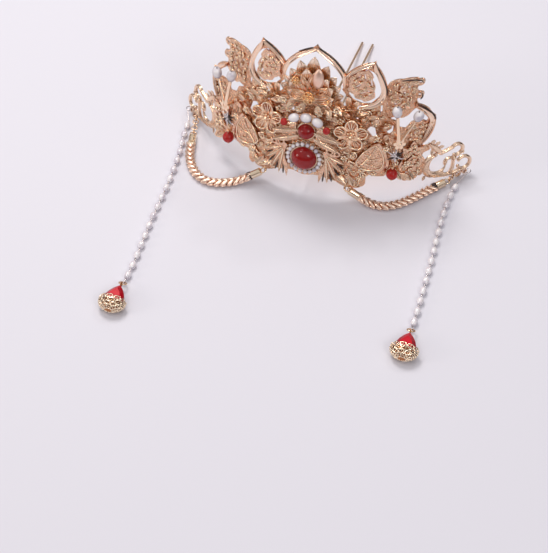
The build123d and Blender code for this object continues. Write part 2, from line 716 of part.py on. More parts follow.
def rope_path(points):
    # Straight runs joined by tangent arcs, each as large as its two runs allow
    corners = [Vector(*point) for point in points]
    pieces = []
    at = corners[0]
    for before, corner, after in zip(corners, corners[1:], corners[2:]):
        cut = 0.45 * min((corner - before).length, (after - corner).length)
        enter = corner + (before - corner).normalized() * cut
        leave = corner + (after - corner).normalized() * cut
        pieces.append(Line(at, enter))
        pieces.append(TangentArc(enter, leave, tangent=(corner - before).normalized()))
        at = leave
    pieces.append(Line(at, corners[-1]))
    return Wire(pieces)


def make_rope(name):
    path = rope_path(rope_routes[name])
    section = Plane(origin=path @ 0, z_dir=path % 0) * Circle(rope_radius)
    return sweep(section, path=path)


def cap_loop(name, end):
    # Middle of a cap's loop, and the direction in which the cap points
    points = rope_routes[name]
    tip, inside = (points[0], points[1]) if end == "inner" else (points[-1], points[-2])
    out = (Vector(*tip) - Vector(*inside)).normalized()
    return Vector(*tip) + out * (cap_length + cap_loop_reach), out


def make_cap(name, end):
    middle, out = cap_loop(name, end)
    face = Plane(origin=middle - out * (cap_length + cap_loop_reach - solder_gap), z_dir=out).location
    body = face * Cylinder(rope_radius, cap_length, align=low)
    body += face * Pos(0, 0, cap_length) * scale(Sphere(1), by=(rope_radius, rope_radius, 1.2))
    upright = Vector(0, 0, 1) - out * out.Z
    return body + Plane(origin=middle, z_dir=upright).location * Torus(cap_loop_radius, cap_loop_wire)


# Rings between the caps and the crown
link_wire = 0.3
link_slack = 0.42
inner_slack = 1.0
eye_ring_radius = 2.2
link_counts = (("left", -1, 5), ("right", 1, 3))
hook_spot = (27.4, 10.7, -2.1)


def ring_chain(start, end, count):
    # Interlocked rings between two points, each turned square to its neighbour, the last one upright
    step = (end - start) * (1 / count)
    heading = step.normalized()
    upright = Vector(0, 0, 1) - heading * heading.Z
    sideways = heading.cross(Vector(0, 0, 1))
    rings = []
    for number in range(count):
        lying = (count - 1 - number) % 2 == 1
        place = Plane(origin=start + step * (number + 0.5), z_dir=upright if lying else sideways).location
        rings.append(place * Torus(step.length / 2 + link_slack, link_wire))
    return rings


def make_inner_rings():
    rings = []
    for name, side in sides:
        loop, out = cap_loop(name, "inner")
        hook = seat_point(side * hook_spot[0], hook_spot[1], hook_spot[2])
        rings += ring_chain(loop + out * (cap_loop_radius - inner_slack), hook, 1)
    return Compound(children=rings)


def make_outer_rings():
    rings = []
    for name, side, count in link_counts:
        loop, out = cap_loop(name, "outer")
        ring, middle, far = eye_ring(0, side, eye_ring_radius, link_wire)
        end = far - (far - middle).normalized() * link_slack
        rings += ring_chain(loop + out * (cap_loop_radius - link_slack), end, count) + [ring]
    return Compound(children=rings)


# Pearl strings on the floor: each row is (x, y) of the thread, from the scroll to the drop
string_routes = {
    "left": [(-90.4, 37.0), (-89.2, 25.0), (-85.8, 9.0), (-83.8, -8.0), (-82.6, -24.0),
             (-81.4, -52.0), (-79.8, -73.0), (-78.6, -87.0), (-78.2, -103.0)],
    "right": [(90.0, 36.0), (88.2, 24.0), (87.6, 8.0), (88.6, -12.0), (89.8, -30.0),
              (90.6, -50.0), (91.2, -66.0), (91.6, -84.6)],
}


def string_stops(name):
    # Points one pitch apart along the route
    route = string_routes[name]
    lengths = [hypot(b[0] - a[0], b[1] - a[1]) for a, b in zip(route, route[1:])]
    count = round(sum(lengths) / string_pitch)
    step = sum(lengths) / count
    stops = []
    for number in range(count + 1):
        ahead = number * step
        run = 0
        while run < len(lengths) - 1 and ahead > lengths[run]:
            ahead -= lengths[run]
            run += 1
        share = min(ahead / lengths[run], 1.0)
        a = route[run]
        b = route[run + 1]
        stops.append((a[0] + share * (b[0] - a[0]), a[1] + share * (b[1] - a[1]), string_pearl_size[0] / 2))
    return stops


def make_pearl_string(name):
    pearls = []
    stops = string_stops(name)
    for a, b in zip(stops, stops[1:]):
        middle = Vector((a[0] + b[0]) / 2, (a[1] + b[1]) / 2, a[2])
        place = Plane(origin=middle, z_dir=Vector(b[0] - a[0], b[1] - a[1], 0)).location
        pearls.append(place * (oval(*string_pearl_size) - bore(20, thread_radius + bore_clearance)))
    return Compound(children=pearls)


def make_string_wire(name):
    stops = string_stops(name)
    body = Pos(*stops[0]) * Sphere(0.6)
    for a, b in zip(stops, stops[1:]):
        body += rod(a, b, thread_radius)
        body += Pos(*b) * Sphere(0.6)
    hook, middle, far = eye_ring(1, dict(sides)[name], hook_radius, loop_wire)
    across = (far - middle).normalized()
    joint = middle + across.cross(Vector(0, 0, 1)) * dict(sides)[name] * hook_radius
    body += rod(stops[0], tuple(joint), thread_radius)
    body += Pos(*joint) * Sphere(joint_ball)
    body += hook
    out = (Vector(*stops[-1]) - Vector(*stops[-2])).normalized()
    loop = Plane(origin=Vector(*stops[-1]) + out * loop_offset, z_dir=(-out.Y, out.X, 0)).location
    return body + loop * Torus(string_loop_radius, loop_wire)


# Drops: a faceted teardrop standing in a pierced cup, tip towards the string
drop_height = cup_height / 2
drop_tip = drop_length - 4.6
eye_offset = 1.7
cup_eye_radius = 1.35
ring_slack = 0.2
facet_count = 16
drop_taper = 0.7
drop_fullness = 1.21
table_share = 0.62
girdle_half = 1.0


def drop_frame(name):
    # Local x across, y towards the string, z up, at the cup's mouth
    end = string_stops(name)[-1]
    fall = drop_height - end[2]
    ring_reach = sqrt((2 * ring_radius) ** 2 - fall ** 2)
    away = loop_offset + ring_slack + ring_reach + ring_slack + eye_offset + drop_tip
    return Pos(end[0], end[1] - away, drop_height)


def drop_outline(share, height):
    # A teardrop with its tip at +y, shrunk towards its middle by the given share
    points = []
    for step in range(facet_count):
        angle = 2 * pi * step / facet_count
        x = drop_width / 2 * drop_fullness * sin(angle) * sin(angle / 2) ** drop_taper
        y = drop_length / 2 * cos(angle)
        points.append((share * x, drop_tip - drop_length / 2 + share * y + (share - 1) * 1.5, height))
    return Face(Wire.make_polygon([(-x, y, z) for x, y, z in points]))


def make_drop_stone(name):
    half = drop_thick / 2
    sections = ((table_share, -half), (1.0, -girdle_half), (1.0, girdle_half), (table_share, half))
    body = loft([drop_outline(*section) for section in sections], ruled=True)
    body -= Pos(0, drop_tip / 2, 0) * Rot(90, 0, 0) * bore(60, wire_radius + bore_clearance)
    return drop_frame(name) * body


def make_drop_cup(name):
    flat = cup_height / cup_width
    half = cup_width / 2
    outer = scale(Sphere(1), by=(half, cup_depth, half * flat))
    inner = scale(Sphere(1), by=(half - cup_wall, cup_depth - cup_wall, half * flat - cup_wall))
    back = Pos(0, -cup_depth, 0) * Box(4 * half, 2 * cup_depth, 4 * half)
    cup = (outer - inner) & back
    for step in range(cup_lobes):
        angle = 2 * pi * (step + 0.5) / cup_lobes
        notch = Pos(half * cos(angle), 0.4, half * flat * sin(angle)) * Sphere(1.5)
        cup -= notch
        hole = Pos(0.9 * half * cos(angle), -2.9, 0.9 * half * flat * sin(angle)) * Sphere(1.0)
        cup -= hole
    cup += rod((0, -cup_depth + 0.3, 0), (0, drop_tip + 0.5, 0), wire_radius)
    cup += Pos(0, drop_tip + eye_offset, 0) * Rot(0, 90, 0) * Torus(cup_eye_radius, wire_radius)
    return drop_frame(name) * cup


def make_drop_ring(name):
    end = string_stops(name)[-1]
    top = Vector(end[0], end[1] - loop_offset - ring_slack, end[2])
    eye = (drop_frame(name) * Pos(0, drop_tip + eye_offset + ring_slack, 0)).position
    along = (eye - top).normalized()
    normal = Vector(1, 0, 0).cross(along)
    return Plane(origin=(top + eye) * 0.5, z_dir=normal).location * Torus(ring_radius, ring_wire)


# Hair fork behind the crest
def make_hair_fork():
    drop = radians(prong_slope)
    tip_z = prong_radius / cos(drop) + 0.02
    root_z = tip_z + (prong_tip_y - prong_root_y) * sin(drop) / cos(drop)
    body = None
    collar_y = prong_root_y + collar_length * cos(drop)
    collar_z = root_z - collar_length * sin(drop)
    for side in (1, -1):
        x = side * prong_half_gap
        prong = rod((x, prong_root_y, root_z), (x, prong_tip_y, tip_z), prong_radius)
        prong += rod((x, prong_root_y, root_z), (x, collar_y, collar_z), collar_radius)
        body = prong if body is None else body + prong
    pad_z = root_z / cos(radians(lean)) + 0.6
    pad = Pos(0, pad_z) * Rectangle(13.0, 5.0)
    return body + wall(pad, -crest_thick - solder_gap - pad_thick, pad_thick)


# Build and write every piece
def build_all():
    nodes = {
        "crest_plate": make_crest_plate(),
        "lotus_petals": make_lotus_petals(),
        "lotus_heart": make_lotus_heart(),
        "middle_shield": make_shield(),
        "cabochon_setting": make_setting(cabochon_spot, cabochon_size, 3.4, 22),
        "cabochon": make_cabochon(cabochon_spot, cabochon_size),
        "pearl_ring": make_pearl_ring(),
        "small_setting": make_setting(small_cabochon_spot, small_cabochon_size, 0.9, 0),
        "small_cabochon": make_cabochon(small_cabochon_spot, small_cabochon_size),
        "arc_wire": make_arc_wire(),
        "arc_pearl_middle": make_arc_pearl(0),
        "hair_fork": make_hair_fork(),
        "swag_rings_inner": make_inner_rings(),
        "swag_rings_outer": make_outer_rings(),
    }
    for name, side in sides:
        nodes["cloud_wing_" + name] = make_cloud_wing(side)
        nodes["side_leaf_" + name] = make_side_leaf(side)
        nodes["front_field_" + name] = make_front_field(side)
        nodes["blossom_" + name] = make_blossom(side)
        nodes["broad_leaf_" + name] = make_broad_leaf(side)
        nodes["feather_spray_" + name] = make_feather_spray(side)
        nodes["tail_fan_" + name] = make_tail_fan(side)
        nodes["ear_leaf_" + name] = make_ear_leaf(side)
        nodes["end_scroll_" + name] = make_scroll(side)
        nodes["arc_pearl_" + name] = make_arc_pearl(side * arc_stops[0][0])
        nodes["arc_bead_" + name] = make_arc_bead(side * arc_stops[1][0])
        nodes["pearl_stems_" + name] = make_pearl_stems(side)
        for row in stem_rows:
            nodes["stem_pearl_" + name + "_" + row[0]] = make_stem_pearl(side, row)
        nodes["red_bead_" + name] = make_red_bead(side)
        nodes["swag_" + name] = make_rope(name)
        for end in ("inner", "outer"):
            nodes["swag_cap_" + name + "_" + end] = make_cap(name, end)
        nodes["pearl_string_" + name] = make_pearl_string(name)
        nodes["string_wire_" + name] = make_string_wire(name)
        nodes["drop_ring_" + name] = make_drop_ring(name)
        nodes["drop_cup_" + name] = make_drop_cup(name)
        nodes["drop_stone_" + name] = make_drop_stone(name)
    return nodes


os.makedirs("parts", exist_ok=True)
for node_name, node_shape in build_all().items():
    export_step(node_shape, "parts/" + node_name + ".step")
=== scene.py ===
import bpy
import math
import random
from mathutils import Matrix, Vector


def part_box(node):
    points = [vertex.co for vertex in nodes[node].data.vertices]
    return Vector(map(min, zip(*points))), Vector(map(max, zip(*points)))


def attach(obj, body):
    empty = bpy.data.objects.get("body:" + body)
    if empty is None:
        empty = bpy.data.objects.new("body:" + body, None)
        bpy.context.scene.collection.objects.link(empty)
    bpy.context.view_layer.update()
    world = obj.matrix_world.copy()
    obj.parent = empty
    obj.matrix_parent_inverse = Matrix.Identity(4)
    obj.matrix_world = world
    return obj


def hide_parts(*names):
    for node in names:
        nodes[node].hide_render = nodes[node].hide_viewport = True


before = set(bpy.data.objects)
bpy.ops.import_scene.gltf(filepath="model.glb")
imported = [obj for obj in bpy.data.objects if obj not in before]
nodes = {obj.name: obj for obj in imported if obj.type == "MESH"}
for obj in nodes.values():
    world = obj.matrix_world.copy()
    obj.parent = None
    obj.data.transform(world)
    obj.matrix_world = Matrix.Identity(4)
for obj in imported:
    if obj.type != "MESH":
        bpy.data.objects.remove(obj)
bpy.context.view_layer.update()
mm = 0.001
sides = {"left": -1, "right": 1}

# the crest's curve and lean, as in the solids
crest = {"radius": 112.0, "lean": 11.6}
leanCos = math.cos(math.radians(crest["lean"]))
leanSin = math.sin(math.radians(crest["lean"]))


# places on the crest
def turned(x, y, z):
    return Vector((x, y * leanCos + z * leanSin, z * leanCos - y * leanSin))


def onCrest(x, z, out):
    # x across, z up the face and out from it, in millimetres
    radius = crest["radius"] + out
    turn = math.asin(max(-1.0, min(1.0, x / radius)))
    return turned(x, crest["radius"] - radius * math.cos(turn), z) * mm


def seat(x, z, out):
    # columns: across, up the face, straight out of it
    turn = math.asin(x / (crest["radius"] + out))
    across = turned(math.cos(turn), math.sin(turn), 0)
    up = turned(0, 0, 1)
    away = turned(math.sin(turn), -math.cos(turn), 0)
    place = Matrix((across, up, away)).transposed().to_4x4()
    place.translation = onCrest(x, z, out)
    return place


def at(place, x, y, z):
    return place @ Vector((x * mm, y * mm, z * mm))


# mesh pieces collected as points and faces
def newStore():
    return {"points": [], "faces": []}


def addGrid(store, rows, closed=False):
    first = len(store["points"])
    wide = len(rows[0])
    for row in rows:
        store["points"] += row
    for i in range(len(rows) - 1):
        for k in range(wide if closed else wide - 1):
            a = first + i * wide + k
            b = first + i * wide + (k + 1) % wide
            store["faces"].append((a, b, b + wide, a + wide))


def addCap(store, ring):
    first = len(store["points"])
    store["points"] += ring
    store["faces"].append(tuple(range(first, first + len(ring))))


def addTube(store, points, radii, count=6):
    # a round wire through the points; radii in millimetres, one for each or one for all
    if not isinstance(radii, (list, tuple)):
        radii = [radii] * len(points)
    normal = None
    rings = []
    for i, point in enumerate(points):
        ahead = points[min(i + 1, len(points) - 1)] - points[max(i - 1, 0)]
        ahead.normalize()
        if normal is None:
            normal = ahead.orthogonal().normalized()
        normal = (normal - ahead * normal.dot(ahead)).normalized()
        side = ahead.cross(normal)
        ring = []
        for k in range(count):
            angle = 2 * math.pi * k / count
            ring.append(point + (normal * math.cos(angle) + side * math.sin(angle)) * (radii[i] * mm))
        rings.append(ring)
    addGrid(store, rings, closed=True)
    addCap(store, rings[0][::-1])
    addCap(store, rings[-1])


def addBall(store, middle, radii, axes=None, rings=7, count=12):
    # an oval body; the last axis runs through its poles
    axes = axes or (Vector((1, 0, 0)), Vector((0, 1, 0)), Vector((0, 0, 1)))
    rows = []
    for i in range(rings + 1):
        polar = math.pi * (0.02 + 0.96 * i / rings)
        row = []
        for k in range(count):
            angle = 2 * math.pi * k / count
            flat = math.sin(polar)
            spot = axes[0] * (flat * math.cos(angle) * radii[0])
            spot = spot + axes[1] * (flat * math.sin(angle) * radii[1])
            row.append(middle + spot - axes[2] * (math.cos(polar) * radii[2]))
        rows.append(row)
    addGrid(store, rows, closed=True)
    addCap(store, rows[0][::-1])
    addCap(store, rows[-1])


def addBead(store, middle, radius, rings=5, count=8):
    addBall(store, middle, (radius * mm,) * 3, None, rings, count)


def makePiece(name, store, material, replaced=(), sharp=None):
    mesh = bpy.data.meshes.new(name)
    mesh.from_pydata([tuple(point) for point in store["points"]], [], store["faces"])
    mesh.validate()
    mesh.polygons.foreach_set("use_smooth", [True] * len(mesh.polygons))
    if sharp:
        mesh.set_sharp_from_angle(angle=math.radians(sharp))
    mesh.materials.append(material)
    piece = bpy.data.objects.new(name, mesh)
    bpy.context.scene.collection.objects.link(piece)
    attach(piece, "root")
    if replaced:
        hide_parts(*replaced)
    return piece


def smoothRoute(points, perPoint=8):
    # evenly read points of a NURBS line through a route given in millimetres
    curve = bpy.data.curves.new("route", "CURVE")
    curve.dimensions = "3D"
    curve.resolution_u = perPoint
    line = curve.splines.new("NURBS")
    line.points.add(len(points) - 1)
    for target, point in zip(line.points, points):
        target.co = (point[0] * mm, point[1] * mm, point[2] * mm, 1)
    line.order_u = 3
    line.use_endpoint_u = True
    holder = bpy.data.objects.new("route", curve)
    mesh = bpy.data.meshes.new_from_object(holder)
    spots = [vertex.co.copy() for vertex in mesh.vertices]
    bpy.data.objects.remove(holder)
    bpy.data.curves.remove(curve)
    bpy.data.meshes.remove(mesh)
    return spots


def walk(spots, step):
    # places one step apart: point and heading
    stations = []
    carried = step / 2
    for a, b in zip(spots, spots[1:]):
        length = (b - a).length
        while carried <= length:
            stations.append((a.lerp(b, carried / length), (b - a).normalized()))
            carried += step
        carried -= length
    return stations


def inside(x, z, loop):
    # whether the point lies within the closed loop
    found = False
    for (x0, z0), (x1, z1) in zip(loop, loop[1:] + loop[:1]):
        if (z0 > z) != (z1 > z) and x < x0 + (z - z0) * (x1 - x0) / (z1 - z0):
            found = not found
    return found


def scatter(loop, spacing, dice, tries=900):
    # random points within the loop, none closer than the spacing
    xs = [x for x, _ in loop]
    zs = [z for _, z in loop]
    kept = []
    for _ in range(tries):
        x = dice.uniform(min(xs), max(xs))
        z = dice.uniform(min(zs), max(zs))
        if inside(x, z, loop) and all(math.hypot(x - a, z - b) > spacing for a, b in kept):
            kept.append((x, z))
    return kept


def curl(x, z, out, radius, turn, way, turns=1.35):
    # a spiral that rises a little towards its eye
    points = []
    steps = 13
    for i in range(steps + 1):
        t = i / steps
        reach = radius * (1 - 0.78 * t)
        angle = turn + way * 2 * math.pi * turns * t
        points.append(onCrest(x + reach * math.cos(angle), z + reach * math.sin(angle), out + 0.45 * t))
    return points


def petalSpot(place, length, width, tilt, cup, s, t, lift):
    # s across from edge to edge, t from root to tip
    lean = math.radians(tilt)
    half = width / 2 * max(math.sin(math.pi * min(1, t ** 1.1)) ** 0.7, 0.04)
    rise = cup * s * s * half * 0.28 + 0.8 * t * t + lift
    return at(place, half * s, length * t * math.cos(lean), length * t * math.sin(lean) + rise)


def addPetal(store, place, length, width, tilt, cup, thick, ribs, ribDepth, columns=28):
    front, back = [], []
    for i in range(15):
        t = i / 14
        rowFront, rowBack = [], []
        for k in range(columns + 1):
            s = 2 * k / columns - 1
            rib = ribDepth * abs(math.sin(math.pi * s * ribs)) * math.sin(math.pi * min(1, t * 1.1))
            rowFront.append(petalSpot(place, length, width, tilt, cup, s, t, rib + thick / 2))
            rowBack.append(petalSpot(place, length, width, tilt, cup, s, t, -thick / 2))
        front.append(rowFront)
        back.append(rowBack[::-1])
    rows = [a + b for a, b in zip(front, back)]
    addGrid(store, rows, closed=True)
    addCap(store, rows[0][::-1])
    addCap(store, rows[-1])


def addLoop(store, place, x, y, z, radius, wire, count=12):
    points = []
    for k in range(count + 1):
        angle = 2 * math.pi * k / count
        points.append(at(place, x + radius * math.cos(angle), y + radius * math.sin(angle), z))
    addTube(store, points, wire, 5)


# node groups shared by the materials
def newGroup(name, inputs, outputs):
    tree = bpy.data.node_groups.new(name, "ShaderNodeTree")
    for label, kind, value in inputs:
        socket = tree.interface.new_socket(label, in_out="INPUT", socket_type=kind)
        socket.default_value = value
    for label, kind in outputs:
        tree.interface.new_socket(label, in_out="OUTPUT", socket_type=kind)
    return tree, tree.nodes.new("NodeGroupInput"), tree.nodes.new("NodeGroupOutput")


def addNode(tree, kind, settings=None, **values):
    node = tree.nodes.new(kind)
    for key, value in (settings or {}).items():
        setattr(node, key, value)
    for key, value in values.items():
        node.inputs[key.replace("_", " ")].default_value = value
    return node


def addMath(tree, operation, *values, clamp=False):
    # each value is a number or the socket that gives it
    node = addNode(tree, "ShaderNodeMath", {"operation": operation, "use_clamp": clamp})
    for socket, value in zip(node.inputs, values):
        if isinstance(value, bpy.types.NodeSocket):
            tree.links.new(value, socket)
        else:
            socket.default_value = value
    return node.outputs["Value"]


def setRamp(node, stops):
    ramp = node.color_ramp
    while len(ramp.elements) < len(stops):
        ramp.elements.new(0.5)
    for element, (place, colour) in zip(ramp.elements, stops):
        element.position = place
        element.color = colour if len(colour) == 4 else (*colour, 1)


def platingAndShadeGroup():
    # painted shade: pale on open faces, a deep shade colour in recesses found by ambient occlusion and on the
    # sunk flat ground, with drifting tone and gloss
    tree, given, result = newGroup("PlatingAndShade", [
        ("Pale", "NodeSocketColor", (0.9, 0.6, 0.45, 1)), ("RecessShade", "NodeSocketColor", (0.5, 0.2, 0.08, 1)),
        ("ShadeReach", "NodeSocketFloat", 0.003), ("Gloss", "NodeSocketFloat", 0.2),
        ("Height", "NodeSocketFloat", 0.5), ("GroundShade", "NodeSocketFloat", 0.0),
    ], [("Color", "NodeSocketColor"), ("Roughness", "NodeSocketFloat")])
    link = tree.links.new
    hollow = addNode(tree, "ShaderNodeAmbientOcclusion", {"samples": 6})
    link(given.outputs["ShadeReach"], hollow.inputs["Distance"])
    spread = addNode(tree, "ShaderNodeMapRange", {"interpolation_type": "SMOOTHSTEP"},
                     From_Min=0.15, From_Max=0.85)
    link(hollow.outputs["AO"], spread.inputs["Value"])
    place = addNode(tree, "ShaderNodeTexCoord")
    drift = addNode(tree, "ShaderNodeTexNoise", Scale=160.0, Detail=3.0, Roughness=0.6)
    link(place.outputs["Object"], drift.inputs["Vector"])
    sway = addMath(tree, "MULTIPLY_ADD", drift.outputs["Fac"], 0.7, -0.35)
    shadeAndTone = addMath(tree, "ADD", spread.outputs["Result"], sway, clamp=True)
    # painted shade: the flat ground between beads and lines darkens
    sunk = addMath(tree, "SUBTRACT", 1.0, given.outputs["Height"], clamp=True)
    paintedGroundShade = addMath(tree, "MULTIPLY", sunk, given.outputs["GroundShade"])
    shown = addMath(tree, "SUBTRACT", shadeAndTone, paintedGroundShade, clamp=True)
    mix = addNode(tree, "ShaderNodeMix", {"data_type": "RGBA"})
    link(shown, mix.inputs[0])
    link(given.outputs["RecessShade"], mix.inputs[6])
    link(given.outputs["Pale"], mix.inputs[7])
    link(mix.outputs[2], result.inputs["Color"])
    rough = addMath(tree, "MULTIPLY_ADD", drift.outputs["Fac"], 0.16, given.outputs["Gloss"])
    link(rough, result.inputs["Roughness"])
    return tree


def reliefGroup():
    # soft edges, cast beads and worm-like filigree lines as a normal
    tree, given, result = newGroup("Relief", [
        ("Cells", "NodeSocketFloat", 700.0), ("Beads", "NodeSocketFloat", 0.5),
        ("Lines", "NodeSocketFloat", 0.3),
        ("Depth", "NodeSocketFloat", 0.0003), ("Edge", "NodeSocketFloat", 0.00025),
    ], [("Normal", "NodeSocketVector"), ("Height", "NodeSocketFloat")])
    link = tree.links.new
    place = addNode(tree, "ShaderNodeTexCoord")
    warp = addNode(tree, "ShaderNodeTexNoise", Scale=420.0, Detail=1.0)
    link(place.outputs["Object"], warp.inputs["Vector"])
    shift = addNode(tree, "ShaderNodeMix", {"data_type": "VECTOR"})
    shift.inputs[0].default_value = 0.0012
    link(place.outputs["Object"], shift.inputs[4])
    link(warp.outputs["Color"], shift.inputs[5])
    cells = addNode(tree, "ShaderNodeTexVoronoi", Randomness=0.75)
    link(shift.outputs[1], cells.inputs["Vector"])
    link(given.outputs["Cells"], cells.inputs["Scale"])
    bead = addNode(tree, "ShaderNodeMapRange", {"interpolation_type": "SMOOTHSTEP"},
                   From_Min=0.1, From_Max=0.55, To_Min=1.0, To_Max=0.0)
    link(cells.outputs["Distance"], bead.inputs["Value"])
    worm = addNode(tree, "ShaderNodeTexVoronoi", {"feature": "DISTANCE_TO_EDGE"}, Randomness=1.0)
    link(addMath(tree, "MULTIPLY", given.outputs["Cells"], 0.62), worm.inputs["Scale"])
    link(shift.outputs[1], worm.inputs["Vector"])
    line = addNode(tree, "ShaderNodeMapRange", {"interpolation_type": "SMOOTHSTEP"},
                   From_Min=0.02, From_Max=0.16, To_Min=1.0, To_Max=0.0)
    link(worm.outputs["Distance"], line.inputs["Value"])
    beads = addMath(tree, "MULTIPLY", bead.outputs["Result"], given.outputs["Beads"])
    lines = addMath(tree, "MULTIPLY", line.outputs["Result"], given.outputs["Lines"])
    height = addMath(tree, "ADD", beads, lines)
    rounded = addNode(tree, "ShaderNodeBevel", {"samples": 4})
    link(given.outputs["Edge"], rounded.inputs["Radius"])
    bump = addNode(tree, "ShaderNodeBump", Strength=1.0)
    link(given.outputs["Depth"], bump.inputs["Distance"])
    link(height, bump.inputs["Height"])
    link(rounded.outputs["Normal"], bump.inputs["Normal"])
    link(bump.outputs["Normal"], result.inputs["Normal"])
    link(height, result.inputs["Height"])
    return tree


platingAndShade = platingAndShadeGroup()
relief = reliefGroup()


def newMaterial(name):
    material = bpy.data.materials.new(name)
    material.use_nodes = True
    tree = material.node_tree
    return material, tree, tree.nodes["Principled BSDF"], tree.links.new


# each gold: open colour, painted shade colour for recesses, reach of the recess shade in mm, gloss, beads per
# metre, share of beads, share of lines, their depth in mm, edge in mm, how much painted shade darkens the flat
# ground
golds = {
    "plain": ((1.0, 0.75, 0.55), (0.66, 0.22, 0.07), 2.2, 0.13, 500, 0.2, 0.1, 0.06, 0.25, 0.0),
    "cast": ((1.0, 0.75, 0.54), (0.62, 0.19, 0.05), 3.0, 0.09, 900, 0.8, 0.6, 0.22, 0.25, 0.6),
    "beaded": ((1.0, 0.78, 0.60), (0.64, 0.23, 0.08), 2.4, 0.10, 900, 1.0, 0.2, 0.22, 0.25, 0.5),
    "pierced": ((1.0, 0.76, 0.55), (0.60, 0.18, 0.05), 2.5, 0.09, 800, 0.4, 1.0, 0.24, 0.25, 0.6),
    "polished": ((0.96, 0.78, 0.58), (0.62, 0.27, 0.10), 1.6, 0.05, 300, 0.1, 0.0, 0.03, 0.35, 0.0),
    "band": ((1.0, 0.77, 0.60), (0.66, 0.26, 0.10), 1.2, 0.07, 300, 0.1, 0.0, 0.03, 0.2, 0.0),
    "wire": ((1.0, 0.84, 0.63), (0.74, 0.33, 0.12), 1.8, 0.05, 900, 0.1, 0.0, 0.03, 0.1, 0.0),
    "lace": ((1.0, 0.86, 0.66), (0.84, 0.44, 0.22), 1.2, 0.03, 900, 0.1, 0.0, 0.02, 0.1, 0.0),
    "blush": ((0.98, 0.75, 0.62), (0.80, 0.36, 0.21), 1.5, 0.30, 300, 0.3, 0.4, 0.08, 0.2, 0.3),
    "amber": ((0.95, 0.48, 0.20), (0.50, 0.10, 0.015), 1.6, 0.08, 900, 0.1, 0.0, 0.03, 0.1, 0.0),
    "stamen": ((1.0, 0.66, 0.34), (0.80, 0.26, 0.06), 1.2, 0.04, 900, 0.1, 0.0, 0.03, 0.1, 0.0),
    "satin": ((1.0, 0.76, 0.61), (0.72, 0.32, 0.16), 1.8, 0.24, 500, 0.1, 0.1, 0.03, 0.2, 0.0),
    "scroll": ((0.93, 0.70, 0.52), (0.50, 0.19, 0.07), 2.4, 0.18, 420, 0.4, 0.5, 0.08, 0.3, 0.1),
    "ring": ((0.82, 0.58, 0.38), (0.35, 0.12, 0.04), 2.0, 0.10, 900, 0.1, 0.0, 0.02, 0.1, 0.0),
    "flower": ((0.97, 0.66, 0.44), (0.56, 0.15, 0.03), 2.4, 0.10, 700, 0.5, 0.6, 0.14, 0.25, 0.4),
    "petal": ((1.0, 0.82, 0.67), (0.72, 0.32, 0.14), 2.0, 0.18, 500, 0.2, 0.1, 0.05, 0.25, 0.0),
    "silver": ((0.78, 0.72, 0.72), (0.32, 0.22, 0.20), 1.2, 0.06, 900, 0.1, 0.0, 0.03, 0.1, 0.0),
    # umber: painted shade on the drop cups, seen between the lace loops
    "umber": ((0.55, 0.24, 0.10), (0.22, 0.06, 0.015), 1.6, 0.2, 900, 0.4, 0.3, 0.08, 0.1, 0.3),
    # dark: near-black gold for painted shade and dark reflections on the shade edges, fan gaps, star points and
    # dark crimps; also the stem pearls' pins
    "dark": ((0.10, 0.075, 0.07), (0.04, 0.02, 0.02), 1.2, 0.12, 900, 0.1, 0.0, 0.02, 0.1, 0.0),
}


def makeGold(name):
    pale, deep, reach, gloss, cells, beads, lines, depth, edge, ground = golds[name]
    material, tree, surface, link = newMaterial("gold_" + name)
    tone = tree.nodes.new("ShaderNodeGroup")
    tone.node_tree = platingAndShade
    tone.inputs["Pale"].default_value = (*pale, 1)
    tone.inputs["RecessShade"].default_value = (*deep, 1)
    tone.inputs["ShadeReach"].default_value = reach * mm
    tone.inputs["Gloss"].default_value = gloss
    shape = tree.nodes.new("ShaderNodeGroup")
    shape.node_tree = relief
    shape.inputs["Cells"].default_value = cells
    shape.inputs["Beads"].default_value = beads
    shape.inputs["Lines"].default_value = lines
    shape.inputs["Depth"].default_value = depth * mm
    shape.inputs["Edge"].default_value = edge * mm
    surface.inputs["Metallic"].default_value = 1.0
    tone.inputs["GroundShade"].default_value = ground
    link(shape.outputs["Height"], tone.inputs["Height"])
    link(tone.outputs["Color"], surface.inputs["Base Color"])
    link(tone.outputs["Roughness"], surface.inputs["Roughness"])
    link(shape.outputs["Normal"], surface.inputs["Normal"])
    return material


gold = {name: makeGold(name) for name in golds}


def makeStone(name, light, dark, veinScale):
    # opaque polished stone with cloudy veins
    material, tree, surface, link = newMaterial(name)
    place = addNode(tree, "ShaderNodeTexCoord")
    cloud = addNode(tree, "ShaderNodeTexNoise", Scale=veinScale, Detail=5.0, Distortion=1.2)
    link(place.outputs["Object"], cloud.inputs["Vector"])
    ramp = addNode(tree, "ShaderNodeValToRGB")
    setRamp(ramp, [(0.35, dark), (0.65, light)])
    link(cloud.outputs["Fac"], ramp.inputs["Fac"])
    link(ramp.outputs["Color"], surface.inputs["Base Color"])
    gloss = addNode(tree, "ShaderNodeMapRange", To_Min=0.08, To_Max=0.2)
    link(cloud.outputs["Fac"], gloss.inputs["Value"])
    link(gloss.outputs["Result"], surface.inputs["Roughness"])
    surface.inputs["Specular IOR Level"].default_value = 0.35
    surface.inputs["Coat Weight"].default_value = 0.25
    surface.inputs["Coat Roughness"].default_value = 0.05
    surface.inputs["Subsurface Weight"].default_value = 0.15
    surface.inputs["Subsurface Radius"].default_value = (0.002, 0.0004, 0.0003)
    return material


